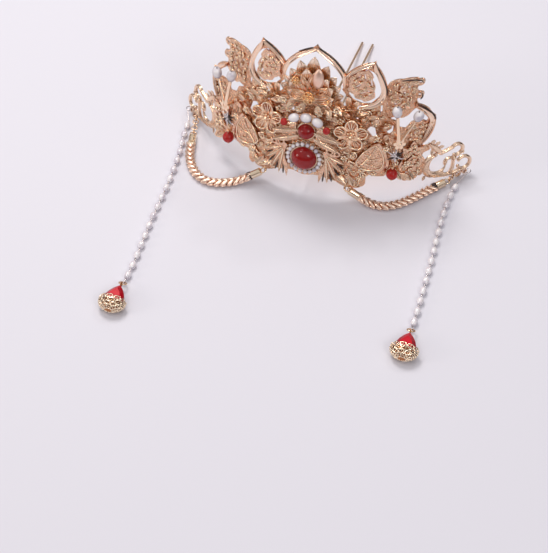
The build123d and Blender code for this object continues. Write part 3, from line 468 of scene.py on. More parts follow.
def makeRedGlass():
    # painted light: brighter red where the face points up (the table), painted shade on the bevels, and a cloudy
    # depth
    material, tree, surface, link = newMaterial("red_glass")
    place = addNode(tree, "ShaderNodeTexCoord")
    depth = addNode(tree, "ShaderNodeTexNoise", Scale=190.0, Detail=2.0)
    link(place.outputs["Object"], depth.inputs["Vector"])
    facing = addNode(tree, "ShaderNodeSeparateXYZ")
    link(place.outputs["Normal"], facing.inputs["Vector"])
    litTable = addNode(tree, "ShaderNodeMapRange", {"interpolation_type": "SMOOTHSTEP"},
                    From_Min=0.55, From_Max=0.97)
    link(facing.outputs["Z"], litTable.inputs["Value"])
    litFacets = addMath(tree, "MULTIPLY_ADD", litTable.outputs["Result"], 0.7, -0.12)
    drift = addMath(tree, "MULTIPLY_ADD", depth.outputs["Fac"], 0.5, litFacets, clamp=True)
    ramp = addNode(tree, "ShaderNodeValToRGB")
    setRamp(ramp, [(0.0, (0.10, 0.0, 0.004)), (0.3, (0.26, 0.001, 0.007)),
                   (0.7, (0.52, 0.004, 0.016)), (1.0, (0.68, 0.012, 0.03))])
    link(drift, ramp.inputs["Fac"])
    link(ramp.outputs["Color"], surface.inputs["Base Color"])
    surface.inputs["Roughness"].default_value = 0.3
    surface.inputs["Specular IOR Level"].default_value = 0.12
    return material


def makePearl(name, edgeShade):
    # nacre: lavender to cream drift under a soft coat
    material, tree, surface, link = newMaterial(name)
    place = addNode(tree, "ShaderNodeTexCoord")
    drift = addNode(tree, "ShaderNodeTexNoise", Scale=190.0, Detail=2.0)
    link(place.outputs["Object"], drift.inputs["Vector"])
    ramp = addNode(tree, "ShaderNodeValToRGB")
    setRamp(ramp, [(0.36, (0.60, 0.55, 0.62)), (0.5, (0.88, 0.84, 0.87)), (0.75, (0.95, 0.91, 0.89))])
    link(drift.outputs["Fac"], ramp.inputs["Fac"])
    # painted shade and reflection: grazing edges darken towards the edge shade colour
    edge = addNode(tree, "ShaderNodeLayerWeight", Blend=0.35)
    shade = addNode(tree, "ShaderNodeMix", {"data_type": "RGBA"})
    shade.inputs[7].default_value = (*edgeShade, 1)
    link(edge.outputs["Facing"], shade.inputs[0])
    link(ramp.outputs["Color"], shade.inputs[6])
    link(shade.outputs[2], surface.inputs["Base Color"])
    rough = addNode(tree, "ShaderNodeMapRange", To_Min=0.12, To_Max=0.22)
    link(drift.outputs["Fac"], rough.inputs["Value"])
    link(rough.outputs["Result"], surface.inputs["Roughness"])
    surface.inputs["Subsurface Weight"].default_value = 0.2
    surface.inputs["Subsurface Radius"].default_value = (0.0012, 0.001, 0.001)
    surface.inputs["Coat Weight"].default_value = 0.8
    surface.inputs["Coat Roughness"].default_value = 0.08
    surface.inputs["Specular IOR Level"].default_value = 0.8
    return material


redStone = makeStone("red_stone", (0.33, 0.008, 0.008), (0.27, 0.005, 0.006), 260.0)
redBead = makeStone("red_bead", (0.50, 0.018, 0.012), (0.38, 0.008, 0.008), 380.0)
redGlass = makeRedGlass()
# the second colour is each pearl's painted edge shade
pearl = makePearl("pearl", (0.34, 0.27, 0.31))
stringPearl = makePearl("string_pearl", (0.70, 0.63, 0.68))

# what each CAD node is finished with
finishes = {
    "crest_plate": gold["cast"], "middle_shield": gold["pierced"],
    "cabochon": redStone, "small_cabochon": redStone,
    "cabochon_setting": gold["polished"], "small_setting": gold["polished"], "pearl_ring": pearl,
    "arc_wire": gold["ring"], "hair_fork": gold["plain"], "swag_rings_inner": gold["ring"],
    "swag_rings_outer": gold["ring"], "lotus_petals": gold["plain"], "lotus_heart": gold["plain"],
}
finishStarts = (
    ("cloud_wing", gold["pierced"]), ("side_leaf", gold["beaded"]), ("front_field", gold["cast"]),
    ("blossom", gold["flower"]), ("broad_leaf", gold["beaded"]), ("feather_spray", gold["pierced"]),
    ("tail_fan", gold["beaded"]), ("ear_leaf", gold["beaded"]), ("end_scroll", gold["scroll"]),
    ("arc_pearl", pearl), ("arc_bead", redBead), ("pearl_stems", gold["plain"]), ("stem_pearl", pearl),
    ("red_bead", redBead), ("swag_cap", gold["polished"]), ("pearl_string", stringPearl),
    # the drop cups are umber as painted shade seen between the lace loops
    ("string_wire", gold["silver"]), ("drop_ring", gold["ring"]), ("drop_cup", gold["umber"]),
    ("drop_stone", redGlass), ("swag_", gold["plain"]),
)
for name, node in nodes.items():
    finish = finishes.get(name) or next(look for start, look in finishStarts if name.startswith(start))
    node.data.materials.clear()
    node.data.materials.append(finish)
print("materials", len(bpy.data.materials))


# smooth bands along the arches: a shallow channel between two rounded lips
bands = {
    # place (x, z) and half width along each band's middle
    "lines": (
        ((0.0, 102.3, 0.5), (1.2, 101.4, 1.0), (5.2, 98.9, 1.35), (12.0, 94.2, 1.45), (17.2, 88.0, 1.4),
         (18.6, 83.0, 1.2), (18.4, 80.0, 0.6)),
        ((19.0, 86.6, 0.8), (22.0, 90.2, 1.3), (27.0, 93.8, 1.35), (31.6, 96.0, 1.2), (34.4, 97.4, 0.5)),
        ((34.4, 97.4, 0.5), (35.0, 93.8, 1.2), (38.4, 87.6, 1.35), (41.2, 80.4, 1.4), (41.1, 75.0, 1.7),
         (38.6, 70.6, 1.9), (34.0, 68.0, 1.7), (29.6, 67.8, 0.7)),
        ((60.8, 68.4, 0.5), (66.6, 63.6, 1.2), (69.9, 58.8, 1.2), (69.6, 53.6, 1.2), (67.8, 47.0, 1.1),
         (66.0, 42.6, 0.5)),
    ),
    # across the band and out of the plate
    "profile": ((-1.0, -0.1), (-1.02, 0.75), (-0.9, 1.2), (-0.72, 1.3), (-0.56, 1.1), (-0.42, 0.8),
                (0.0, 0.72), (0.42, 0.8), (0.56, 1.1), (0.72, 1.3), (0.9, 1.2), (1.02, 0.75), (1.0, -0.1)),
}


def softened(rows, rounds=3):
    # corner cutting that keeps both ends
    for _ in range(rounds):
        cut = [rows[0]]
        for a, b in zip(rows, rows[1:]):
            cut.append(tuple(p * 0.75 + q * 0.25 for p, q in zip(a, b)))
            cut.append(tuple(p * 0.25 + q * 0.75 for p, q in zip(a, b)))
        rows = cut + [rows[-1]]
    return rows


def addBand(store, path, profile, put, flip):
    rows = []
    for i, (x, z, half) in enumerate(path):
        before, after = path[max(i - 1, 0)], path[min(i + 1, len(path) - 1)]
        run = math.hypot(after[0] - before[0], after[1] - before[1])
        ux, uz = (after[0] - before[0]) / run, (after[1] - before[1]) / run
        rows.append([put(x - uz * half * s, z + ux * half * s, out) for s, out in profile])
    if flip:
        rows = [row[::-1] for row in rows]
    addGrid(store, rows, closed=True)
    addCap(store, rows[0][::-1])
    addCap(store, rows[-1])


def makeBands():
    for name, side in sides.items():
        store = newStore()

        def put(x, z, out):
            return onCrest(side * x, z, out)

        for line in bands["lines"]:
            addBand(store, softened(line), bands["profile"], put, side < 0)
        makePiece("arch_bands_" + name, store, gold["band"])


makeBands()
print("bands")

# painted shade: dark lines along the outer edges that face away from the light
shadeEdges = {
    # side, then (x, z) along the line
    "lines": (
        (1, ((1.4, 103.0), (5.2, 100.9), (12.9, 95.7), (18.0, 89.6))),
        (1, ((35.2, 97.2), (35.6, 95.0), (39.6, 88.0), (43.0, 80.6), (43.2, 76.0))),
        (1, ((60.4, 70.0), (67.4, 65.0), (71.2, 59.8), (71.6, 57.2))),
        (1, ((50.6, 86.2), (56.2, 86.6), (60.6, 86.2), (62.2, 84.2))),
        (1, ((62.2, 77.0), (62.8, 75.0), (61.6, 73.0))),
        (-1, ((33.0, 98.6), (27.0, 95.8), (21.4, 91.6))),
        (-1, ((10.6, 98.0), (5.4, 101.0), (2.0, 102.6))),
    ),
    "out": 0.7, "radius": 0.36, "end": 0.25,
}


def makeShadeEdges():
    for name, side in sides.items():
        store = newStore()
        for lineSide, line in shadeEdges["lines"]:
            if lineSide == side:
                points = [onCrest(side * x, z, shadeEdges["out"]) for x, z in softened(line)]
                last = len(points) - 1
                swell = [shadeEdges["end"] + math.sin(math.pi * k / last) ** 0.5 for k in range(last + 1)]
                addTube(store, points, [shadeEdges["radius"] * share for share in swell])
        makePiece("shade_edges_" + name, store, gold["dark"])


makeShadeEdges()
print("edge lines")

# end scrolls: rounded strokes, knobs and leaf teeth over the flat scroll
scrolls = {
    "start": 72.0, "layer": -3.0,
    # arcs: middle along and up, radius, half width, start, sweep
    "arcs": ((19.4, 30.2, 4.0, 1.0, 150, -260), (25.7, 19.4, 4.6, 0.95, 150, -270),
             (15.0, 21.6, 3.0, 0.8, 45, 160)),
    "arcSteps": 24, "middleShare": 1.25, "endLoss": 0.5,
    "strokes": (((8.0, 29.2, 0.9), (12.0, 30.4, 1.1), (16.2, 32.4, 0.95)),
                ((18.0, 25.2, 0.8), (18.2, 21.0, 1.0), (18.2, 17.0, 0.9), (16.6, 12.6, 0.8)),
                ((25.7, 14.8, 0.8), (21.4, 13.4, 1.1), (17.2, 12.4, 0.9), (12.0, 12.3, 1.2),
                 (6.0, 12.7, 0.9)),
                ((11.8, 15.0, 0.4), (7.6, 13.6, 1.5), (2.2, 14.4, 2.1), (-0.8, 18.0, 2.3),
                 (-1.2, 22.0, 2.1), (0.8, 26.6, 1.5), (5.2, 29.3, 0.4)),
                ((-1.6, 38.6, 0.3), (1.6, 36.0, 1.7), (4.4, 33.4, 2.1), (7.2, 30.6, 1.5), (9.2, 28.6, 0.4)),
                ((-6.4, 36.2, 1.0), (-2.0, 36.6, 1.1)), ((-6.4, 22.4, 1.1), (-3.0, 22.0, 1.2))),
    "knobs": ((18.0, 24.6, 1.7), (12.2, 22.4, 1.3), (23.6, 28.2, 1.2), (21.8, 17.6, 1.2)), "knobRise": 1.3,
    # leaf teeth: along, up, turn, length, width
    "teeth": ((0.6, 37.4, -8, 4.2, 2.6), (3.2, 36.0, -30, 4.0, 2.4), (5.8, 33.6, -50, 3.6, 2.2),
              (2.0, 33.8, 152, 3.8, 2.4), (5.4, 30.8, 140, 3.2, 2.2), (-2.6, 24.6, 40, 3.4, 2.2),
              (-3.2, 19.0, 88, 3.4, 2.2), (-0.8, 14.4, 128, 3.4, 2.2)),
    "toothRise": 1.5, "toothShape": (6, -0.8, 0.5, 1.5, 0.2, 10),
    "profile": ((-1.0, 0.5), (-1.03, 1.2), (-0.8, 1.62), (-0.4, 1.95), (0.0, 2.05), (0.4, 1.95),
                (0.8, 1.62), (1.03, 1.2), (1.0, 0.5)),
}


def makeScrolls():
    turn = math.asin(scrolls["start"] / crest["radius"])
    reach = crest["radius"] + scrolls["layer"]

    def put(side, along, up, out):
        x = along * math.cos(turn) + (reach + out) * math.sin(turn)
        y = crest["radius"] + along * math.sin(turn) - (reach + out) * math.cos(turn)
        return turned(side * x, y, up) * mm

    for name, side in sides.items():
        store = newStore()
        paths = [softened(stroke, 2) for stroke in scrolls["strokes"]]
        for along, up, radius, half, start, sweep in scrolls["arcs"]:
            path = []
            steps = scrolls["arcSteps"]
            for k in range(steps + 1):
                angle = math.radians(start + sweep * k / steps)
                share = scrolls["middleShare"] - scrolls["endLoss"] * abs(2 * k / steps - 1)
                path.append((along + radius * math.cos(angle), up + radius * math.sin(angle), half * share))
            paths.append(path)

        def putHere(along, up, out):
            return put(side, along, up, out)

        for path in paths:
            addBand(store, path, scrolls["profile"], putHere, side < 0)
        for along, up, radius in scrolls["knobs"]:
            addBead(store, put(side, along, up, scrolls["knobRise"]), radius, 7, 12)
        for along, up, angle, length, width in scrolls["teeth"]:
            out = scrolls["toothRise"]
            spot = put(side, along, up, out)
            across = (put(side, along + 1, up, out) - spot).normalized() * side
            rise = (put(side, along, up + 1, out) - spot).normalized()
            place = Matrix((across, rise, across.cross(rise))).transposed().to_4x4()
            place.translation = spot
            place = place @ Matrix.Rotation(side * math.radians(angle), 4, "Z")
            addPetal(store, place, length, width, *scrolls["toothShape"])
        makePiece("scroll_strokes_" + name, store, gold["scroll"], sharp=60)


makeScrolls()
print("scrolls")

# the lotus: rows of ribbed, cupped petals round a bud
lotus = {
    "root": (0.0, 69.5),
    # angle, length, width, height off the face, tilt, cup: rear row, front row
    "petals": (
        (0, 28.2, 10.5, 1.0, 1.5, 0.7), (20, 25.4, 10.0, 1.0, 1.5, 0.7), (39, 22.4, 9.6, 1.0, 1.5, 0.7),
        (56, 20.8, 9.0, 1.0, 2, 0.7), (72, 20.5, 8.0, 0.9, 2, 0.7), (92, 13.0, 6.4, 1.1, 6, 0.7),
        (10, 21.5, 9.4, 2.1, 6, 0.9), (30, 19.5, 9.0, 2.1, 7, 0.9), (50, 17.5, 8.2, 2.2, 8, 0.9),
        (72, 15.0, 7.2, 2.3, 9, 0.9),
    ),
    # pale veins and amber lines across each petal, from edge to edge; the amber lines are painted shade in the
    # grooves between the veins
    "wire": 0.3, "veins": (-0.98, -0.66, -0.33, 0.0, 0.33, 0.66, 0.98), "veinLift": 0.5, "edgeFrom": 0.9,
    "lines": (-0.83, -0.5, -0.17, 0.17, 0.5, 0.83), "lineLift": 0.36,
    # where veins start, where the short ones end, how fast they thin, and a line's step
    "start": 0.12, "shortEnd": 0.86, "thinning": 0.05, "lineStep": 0.07, "steps": 10,
    "thick": 0.5, "ribs": 3.5, "ribDepth": 0.34,
    # bud: place from the root, radii; sepals: turns, drop below the bud, size and shape
    "bud": ((4.0, 16.0, 4.6), (3.3, 1.7, 6.4)), "hubOut": 1.0,
    "sepalTurns": (-16, 16), "sepalDrop": (7.6, 1.2), "sepal": (8.6, 4.2, 4, -1.0, 0.5, 1.5, 0.2, 12),
    # flowers of small loops: x, z from the root, height, ring radius, loop radius, count
    "flowers": ((-0.4, 3.6, 7.6, 2.7, 1.15, 6), (-0.4, 3.6, 8.2, 1.1, 0.6, 3),
                (-9.6, 12.2, 5.4, 1.7, 0.8, 6), (11.0, 1.6, 4.4, 0.0, 1.1, 1)),
    "loopWire": 0.36, "pip": 0.95, "pipRise": 0.4,
    # painted shade: a dark disc behind each flower of loops, seen between the loops; its drop, rim and thickness
    "shadeDrop": 1.1, "shadeRim": 1.1, "shadeThick": 1.2,
}


def makeLotus():
    start, steps = lotus["start"], lotus["steps"]
    store, wires, lines = newStore(), newStore(), newStore()
    for angle, length, width, out, tilt, cup in lotus["petals"]:
        for side in ((1, -1) if angle else (1,)):
            place = seat(*lotus["root"], out) @ Matrix.Rotation(-side * math.radians(angle), 4, "Z")
            addPetal(store, place, length, width, tilt, cup, lotus["thick"], lotus["ribs"], lotus["ribDepth"])
            for s in lotus["veins"]:
                reach = 1.0 if abs(s) > lotus["edgeFrom"] or s == 0 else lotus["shortEnd"]
                spots = [petalSpot(place, length, width, tilt, cup, s, start + (reach - start) * k / steps,
                                   lotus["veinLift"]) for k in range(steps + 1)]
                addTube(wires, spots, [lotus["wire"] * (1 - lotus["thinning"] * k) for k in range(steps + 1)], 5)
            for s in lotus["lines"]:
                spots = [petalSpot(place, length, width, tilt, cup, s, start + lotus["lineStep"] * k,
                                   lotus["lineLift"]) for k in range(steps + 1)]
                addTube(lines, spots, lotus["wire"], 4)
    makePiece("lotus", store, gold["petal"], ("lotus_petals", "lotus_heart"), sharp=50)
    makePiece("lotus_veins", wires, gold["wire"])
    makePiece("lotus_groove_shade", lines, gold["amber"])
    hub = seat(*lotus["root"], lotus["hubOut"])
    across, up, away = (hub.to_3x3().col[i].copy() for i in range(3))
    store = newStore()
    spot, radii = lotus["bud"]
    addBall(store, at(hub, *spot), tuple(radius * mm for radius in radii), (across, away, up), 12, 18)
    below, behind = lotus["sepalDrop"]
    for turn in lotus["sepalTurns"]:  # two sepals hold the bud
        place = hub @ Matrix.Translation((spot[0] * mm, (spot[1] - below) * mm, (spot[2] - behind) * mm))
        place = place @ Matrix.Rotation(math.radians(turn), 4, "Z")
        addPetal(store, place, *lotus["sepal"])
    makePiece("lotus_bud", store, gold["blush"], sharp=50)
    store, shade = newStore(), newStore()
    for x, z, out, ring, loop, count in lotus["flowers"]:
        for k in range(count):
            angle = 2 * math.pi * k / count
            spotX, spotZ = x + ring * math.cos(angle), z + ring * math.sin(angle)
            addLoop(store, hub, spotX, spotZ, out, loop, lotus["loopWire"])
        addBead(store, at(hub, x, z, out + lotus["pipRise"]), lotus["pip"])
        # painted shade: a dark amber disc behind the loops
        wide = (ring + lotus["shadeRim"]) * mm
        addBall(shade, at(hub, x, z, out - lotus["shadeDrop"]), (wide, wide, lotus["shadeThick"] * mm),
                (across, up, away), 5, 12)
    makePiece("lotus_stamens", store, gold["stamen"])
    makePiece("lotus_loop_shade", shade, gold["amber"])


makeLotus()
print("lotus")

# leaf sprigs and small flowers between the lotus and the stones
sprigs = {
    # x, z, height, turn outwards, length, width, tilt
    "leaves": (
        (22.5, 66.5, 1.4, -6, 9.0, 3.8, 8), (24.6, 66.0, 1.8, 26, 8.0, 3.6, 8),
        (19.6, 66.4, 1.8, -34, 7.0, 3.2, 8), (15.6, 66.0, 1.8, 10, 8.0, 4.2, 24),
        (13.2, 65.0, 2.0, -24, 8.5, 4.2, 26), (9.6, 64.0, 2.2, 96, 8.5, 4.4, 24),
        (10.5, 61.5, 2.8, 112, 8.5, 4.2, 20), (16.5, 62.5, 2.0, 76, 8.5, 4.2, 22),
        (6.0, 66.5, 2.4, 78, 8.0, 4.0, 30), (27.5, 61.5, 1.4, 58, 8.0, 3.6, 12),
        (33.5, 60.5, 1.4, 70, 7.5, 3.4, 12), (36.5, 56.0, 2.0, 38, 7.5, 3.4, 12),
        (52.5, 44.0, 3.2, 18, 8.0, 3.6, 10), (50.5, 47.0, 3.0, -12, 8.0, 3.4, 10),
        (56.5, 22.5, 3.4, 120, 8.5, 3.8, 8), (60.5, 23.5, 3.2, 142, 7.0, 3.4, 8),
        (54.0, 25.0, 3.6, 150, 7.0, 3.2, 8), (13.0, 20.5, 4.8, 110, 7.5, 3.2, 8),
        (20.5, 21.5, 5.0, 128, 8.0, 3.4, 8), (27.0, 22.0, 5.0, 150, 8.0, 3.4, 8),
        (10.5, 26.0, 5.0, 118, 7.0, 3.0, 8), (3.4, 66.0, 2.4, 150, 7.0, 4.4, 22),
        (8.6, 67.4, 2.4, 138, 8.4, 4.4, 28), (13.8, 68.0, 2.2, 120, 8.0, 4.2, 32),
        (19.0, 61.0, 2.6, 20, 7.5, 3.8, 28), (24.0, 62.0, 2.2, 6, 7.5, 3.6, 26),
        (29.5, 58.0, 3.4, 40, 7.0, 3.4, 20), (43.0, 52.0, 2.6, 30, 7.5, 3.6, 20),
        (40.0, 46.5, 5.0, -30, 6.5, 3.2, 16), (45.5, 47.0, 4.6, 10, 6.5, 3.2, 16),
    ),
    # x, z, height, radius, petals
    "flowers": (
        (30.2, 65.4, 1.4, 2.6, 6), (11.6, 69.4, 4.2, 1.6, 5), (38.6, 58.2, 2.4, 2.3, 5),
        (48.6, 50.6, 2.6, 2.2, 5), (40.6, 49.4, 5.0, 2.6, 6), (34.6, 25.6, 5.0, 2.4, 6),
        (50.8, 28.8, 4.8, 2.5, 6), (19.0, 58.6, 4.4, 2.5, 5), (33.4, 20.0, 4.4, 1.9, 5),
        (23.6, 33.6, 5.0, 2.4, 6), (6.4, 62.6, 5.4, 2.4, 6), (16.4, 66.2, 5.2, 2.4, 6),
        (12.6, 60.6, 5.0, 2.0, 5), (24.2, 58.4, 4.6, 2.0, 5), (47.4, 42.6, 6.6, 2.2, 6),
        (31.0, 44.4, 5.0, 2.0, 5), (53.6, 36.4, 5.0, 2.2, 6), (14.4, 43.6, 5.0, 1.9, 5),
        (59.6, 29.6, 3.4, 2.2, 6), (42.0, 23.8, 5.0, 2.0, 5),
    ),
    # x, z, height, radius, turn, way: single large curls near the foot and beside the stones
    "curls": (
        (31.4, 13.8, 1.4, 3.2, 40, 1), (25.6, 15.4, 1.2, 2.8, 200, -1), (36.4, 22.4, 4.6, 2.4, 90, 1),
        (18.6, 27.0, 5.0, 2.4, 0, -1), (12.8, 39.6, 5.2, 2.0, 30, 1), (29.0, 36.0, 5.2, 2.6, 120, -1),
        (53.6, 31.6, 4.6, 2.4, 60, 1), (64.0, 20.8, 1.4, 2.4, 300, 1), (48.6, 24.6, 2.4, 2.4, 250, -1),
        (21.4, 63.6, 2.4, 2.2, 20, 1), (34.0, 63.4, 1.2, 2.4, 140, -1), (46.4, 55.6, 1.6, 2.2, 200, 1),
    ),
    # leaves: thickness, ribs, their depth, cup, columns
    "petal": (0.5, 2.5, 0.25), "cup": -0.9, "columns": 10,
    "spine": (0.28, 0.28, 0.28, 0.28, 0.28, 0.1), "spineLift": 0.5,
    "curlWire": 0.55, "curlTurns": 1.5, "thinning": 0.4, "eye": 0.75,
    # small flowers: turn, lean, reach, then shares of the radius and a thickness in mm
    "bloom": {"turn": 0.3, "lean": 0.35, "reach": 0.62, "wide": 0.36, "thick": 0.32, "long": 0.46,
              "heart": 0.24, "heartRise": 0.3},
}


def addFlower(store, place, radius, count):
    bloom = sprigs["bloom"]
    axes = tuple(place.to_3x3().col[i].copy() for i in range(3))
    for k in range(count):
        angle = 2 * math.pi * k / count + bloom["turn"]
        away = (axes[0] * math.cos(angle) + axes[1] * math.sin(angle)).normalized()
        around = axes[2].cross(away)
        tip = (away + axes[2] * bloom["lean"]).normalized()
        middle = place.translation + tip * (radius * bloom["reach"] * mm)
        radii = (radius * bloom["wide"] * mm, bloom["thick"] * mm, radius * bloom["long"] * mm)
        addBall(store, middle, radii, (around, tip.cross(around), tip), 5, 8)
    addBead(store, at(place, 0, 0, radius * bloom["heartRise"]), radius * bloom["heart"])


def makeSprigs():
    thick, ribs, ribDepth = sprigs["petal"]
    cup = sprigs["cup"]
    for name, side in sides.items():
        store, wires = newStore(), newStore()
        for x, z, out, turn, length, width, tilt in sprigs["leaves"]:
            place = seat(side * x, z, out) @ Matrix.Rotation(-side * math.radians(turn), 4, "Z")
            addPetal(store, place, length, width, tilt, cup, thick, ribs, ribDepth, sprigs["columns"])
            count = len(sprigs["spine"])
            spine = [petalSpot(place, length, width, tilt, cup, 0, t / count, sprigs["spineLift"])
                     for t in range(1, count + 1)]
            addTube(wires, spine, sprigs["spine"], 5)
        for x, z, out, radius, count in sprigs["flowers"]:
            addFlower(wires, seat(side * x, z, out), radius, count)
        for x, z, out, radius, turn, way in sprigs["curls"]:
            start = math.radians(turn if side > 0 else 180 - turn)
            points = curl(side * x, z, out, radius, start, way * side, sprigs["curlTurns"])
            count = len(points)
            radii = [sprigs["curlWire"] * (1 - sprigs["thinning"] * k / count) for k in range(count)]
            addTube(wires, points, radii)
            addBead(wires, points[-1], sprigs["eye"])
        makePiece("sprigs_" + name, store, gold["plain"], sharp=50)
        makePiece("sprig_flowers_" + name, wires, gold["wire"])


makeSprigs()
print("sprigs")

# broad leaves: a raised edge, a forked vein and grains all over
broad = {
    "edge": ((31.2, 32.6), (33.4, 37.4), (37.0, 42.0), (42.0, 45.4), (45.0, 41.0), (47.6, 34.4),
             (46.4, 28.2), (41.6, 26.6), (36.6, 27.2), (32.4, 29.4), (31.2, 32.6)),
    "veins": (((33.6, 29.6), (37.4, 34.6), (40.6, 40.0), (42.0, 44.6)),
              ((37.4, 34.6), (41.6, 34.6), (45.8, 36.4)),
              ((35.4, 32.0), (39.8, 30.4), (44.4, 29.4)), ((38.8, 37.0), (36.6, 38.2), (35.4, 38.6))),
    "out": 6.3, "rim": 0.42, "rimLift": 0.1, "vein": 0.4, "veinLift": 0.15, "thinning": 0.6,
    "grain": 0.5, "grainSpread": (0.8, 1.2), "spacing": 1.35, "tries": 2600, "seed": 3,
}


def makeBroadLeaves():
    for name, side in sides.items():
        dice = random.Random(broad["seed"] + side)
        store = newStore()
        out = broad["out"]
        rim = [onCrest(side * x, z, out + broad["rimLift"]) for x, z in softened(broad["edge"], 2)]
        addTube(store, rim, broad["rim"])
        for vein in broad["veins"]:
            points = [onCrest(side * x, z, out + broad["veinLift"]) for x, z in softened(vein, 2)]
            count = len(points)
            radii = [broad["vein"] * (1 - broad["thinning"] * k / count) for k in range(count)]
            addTube(store, points, radii)
        loop = [(side * x, z) for x, z in broad["edge"][:-1]]
        for x, z in scatter(loop, broad["spacing"], dice, broad["tries"]):
            addBead(store, onCrest(x, z, out), broad["grain"] * dice.uniform(*broad["grainSpread"]), 3, 6)
        makePiece("leaf_grains_" + name, store, gold["wire"])


makeBroadLeaves()
print("broad leaves")

# silvery stars where the stems start, and dark pins on the stem pearls
stars = {
    "spot": (53.4, 38.6, 7.4), "points": 12, "length": 5.8, "short": 0.7, "rise": 0.8,
    # along each point, its thickness as shares of the wire; which points are painted dark as shade
    "along": (0.1, 0.4, 0.7, 1), "swell": (0.8, 1.3, 1.0, 0.2), "wire": 0.5, "dark": (0, 1, 2, 7, 10),
    "heart": 1.1, "heartRise": 0.6, "pin": 0.5,
}


def makeStars():
    for name, side in sides.items():
        store, shade = newStore(), newStore()
        x, z, out = stars["spot"]
        place = seat(side * x, z, out)
        for k in range(stars["points"]):
            angle = 2 * math.pi * k / stars["points"]
            reach = stars["length"] * (1.0 if k % 2 else stars["short"])
            points = [at(place, reach * t * math.cos(angle), reach * t * math.sin(angle),
                         stars["rise"] * math.sin(math.pi * t)) for t in stars["along"]]
            addTube(shade if k in stars["dark"] else store, points,
                    [stars["wire"] * share for share in stars["swell"]])
        addBead(store, at(place, 0, 0, stars["heartRise"]), stars["heart"], 6, 10)
        makePiece("star_" + name, store, gold["silver"])
        makePiece("star_shade_" + name, shade, gold["dark"])
        store = newStore()
        for end in ("inner", "outer"):
            low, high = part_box("stem_pearl_" + name + "_" + end)
            top = Vector(((low.x + high.x) / 2, (low.y + high.y) / 2, high.z))
            addBead(store, top, stars["pin"])
        makePiece("pearl_pins_" + name, store, gold["dark"])


makeStars()
print("stars")

# blossoms: raised petal outlines over hatched hollows
blossom = {
    "spot": (26.0, 51.0), "out": 5.2, "reach": 6.1, "petal": (4.3, 3.7), "top": 1.5, "lip": 0.5, "wire": 0.42,
    # hatching: rows, where they start, how long, how they fan out, height and bulge
    "rows": (-0.5, 0.0, 0.5), "rowStart": 3.4, "rowLength": 6.0, "rowFan": 3.4, "rowTop": 1.0,
    "rowBulge": 0.5, "rowWire": 0.3, "rowSteps": (0, 0.33, 0.66, 1),
    # beads round the heart: count, ring radius, height, radius; then the heart's height and radius
    "beads": (8, 2.3, 2.1, 0.7), "heart": (3.0, 1.1),
}


def makeBlossoms():
    for name, side in sides.items():
        store = newStore()
        base = seat(side * blossom["spot"][0], blossom["spot"][1], blossom["out"])
        wide, tall = blossom["petal"]
        for step in range(5):
            turn = math.radians(18 + 72 * step) if side > 0 else math.radians(162 - 72 * step)
            place = base @ Matrix.Rotation(turn, 4, "Z")
            loop = []
            for k in range(21):
                angle = 2 * math.pi * k / 20
                loop.append(at(place, blossom["reach"] + wide * math.cos(angle), tall * math.sin(angle),
                               blossom["top"] + blossom["lip"] * math.cos(angle)))
            addTube(store, loop, blossom["wire"])
            for row in blossom["rows"]:
                points = [at(place, blossom["rowStart"] + blossom["rowLength"] * t,
                             row * (1 + blossom["rowFan"] * t),
                             blossom["rowTop"] + blossom["rowBulge"] * math.sin(math.pi * t))
                          for t in blossom["rowSteps"]]
                addTube(store, points, blossom["rowWire"], 5)
        axes = tuple(base.to_3x3().col[i].copy() for i in range(3))
        count, ring, height, radius = blossom["beads"]
        for step in range(count):
            angle = 2 * math.pi * step / count
            middle = at(base, ring * math.cos(angle), ring * math.sin(angle), height)
            addBall(store, middle, (radius * mm,) * 3, axes, 4, 6)
        height, radius = blossom["heart"]
        addBall(store, at(base, 0, 0, height), (radius * mm,) * 3, axes, 5, 8)
        makePiece("blossom_wires_" + name, store, gold["wire"])


makeBlossoms()
print("blossoms")

# cast filigree: curls, sprigs and grains laid on the plates, one row per zone
filigree = {
    # zone corners (x, z), height of the plate's face, spacing, curl radius
    "zones": {
        "field": ([(12, 20), (12, 46), (14, 56), (24, 61), (32, 57), (38, 48), (48, 50), (50, 42), (49, 30),
                   (46, 24), (38, 22), (34, 16), (25, 19)], 4.2, 3.5, 1.35),
        "shoulder": ([(10, 58), (14, 66), (20, 64), (27, 69), (36, 68), (43, 61), (44, 55), (36, 56),
                      (28, 62), (17, 60)], 0.0, 3.2, 1.25),
        "ear": ([(57, 43), (58, 55), (66, 55), (70, 56), (67, 43)], 0.0, 3.1, 1.2),
        "foot": ([(19, 14.5), (22, 18.5), (33, 19.5), (35, 16), (31, 11)], 0.0, 3.2, 1.1),
        "corner": ([(52, 18.6), (53, 26), (58, 26), (66, 23), (67, 20), (60, 18)], 0.0, 3.0, 1.1),
        "shield": ([(2, 59), (6, 57), (8, 44), (2, 42)], 5.3, 2.6, 0.9),
        "wing": ([(44, 81), (52, 84), (58, 84), (57, 68), (54, 64), (46, 63), (45, 70)], -1.3, 3.2, 1.2),
        "leaf": ([(23.5, 88), (31, 91), (35, 84), (35, 77), (30, 74), (24, 80)], 1.7, 3.3, 1.15),
        "earLeaf": ([(58, 24), (58, 36), (62, 42), (66, 37), (67, 29), (64, 25)], 2.3, 3.0, 1.1),
    },
    "wire": 0.36, "seed": 7, "closer": 0.86, "sizes": (0.85, 1.25), "lift": 0.6,
    # kinds by a random share: curls below the first, leaves below the second, small flowers above
    "kinds": (0.62, 0.84),
    "tail": 1.9, "tailTurn": 0.7, "tailDrop": 0.1, "tailWire": 0.55, "thinning": 0.35, "eye": 1.35,
    "lobes": (-0.45, 0.45), "lobeReach": 1.5, "lobeRise": 0.6,
    "lobeSteps": (0, 0.3, 0.6, 0.85, 1), "lobeSwell": (0.7, 1.7, 1.9, 1.1, 0.3),
    # small flowers: petals, ring radius, height, bead, heart's height, heart's bead
    "flower": (5, 0.85, 0.3, 0.5, 0.5, 0.62),
}


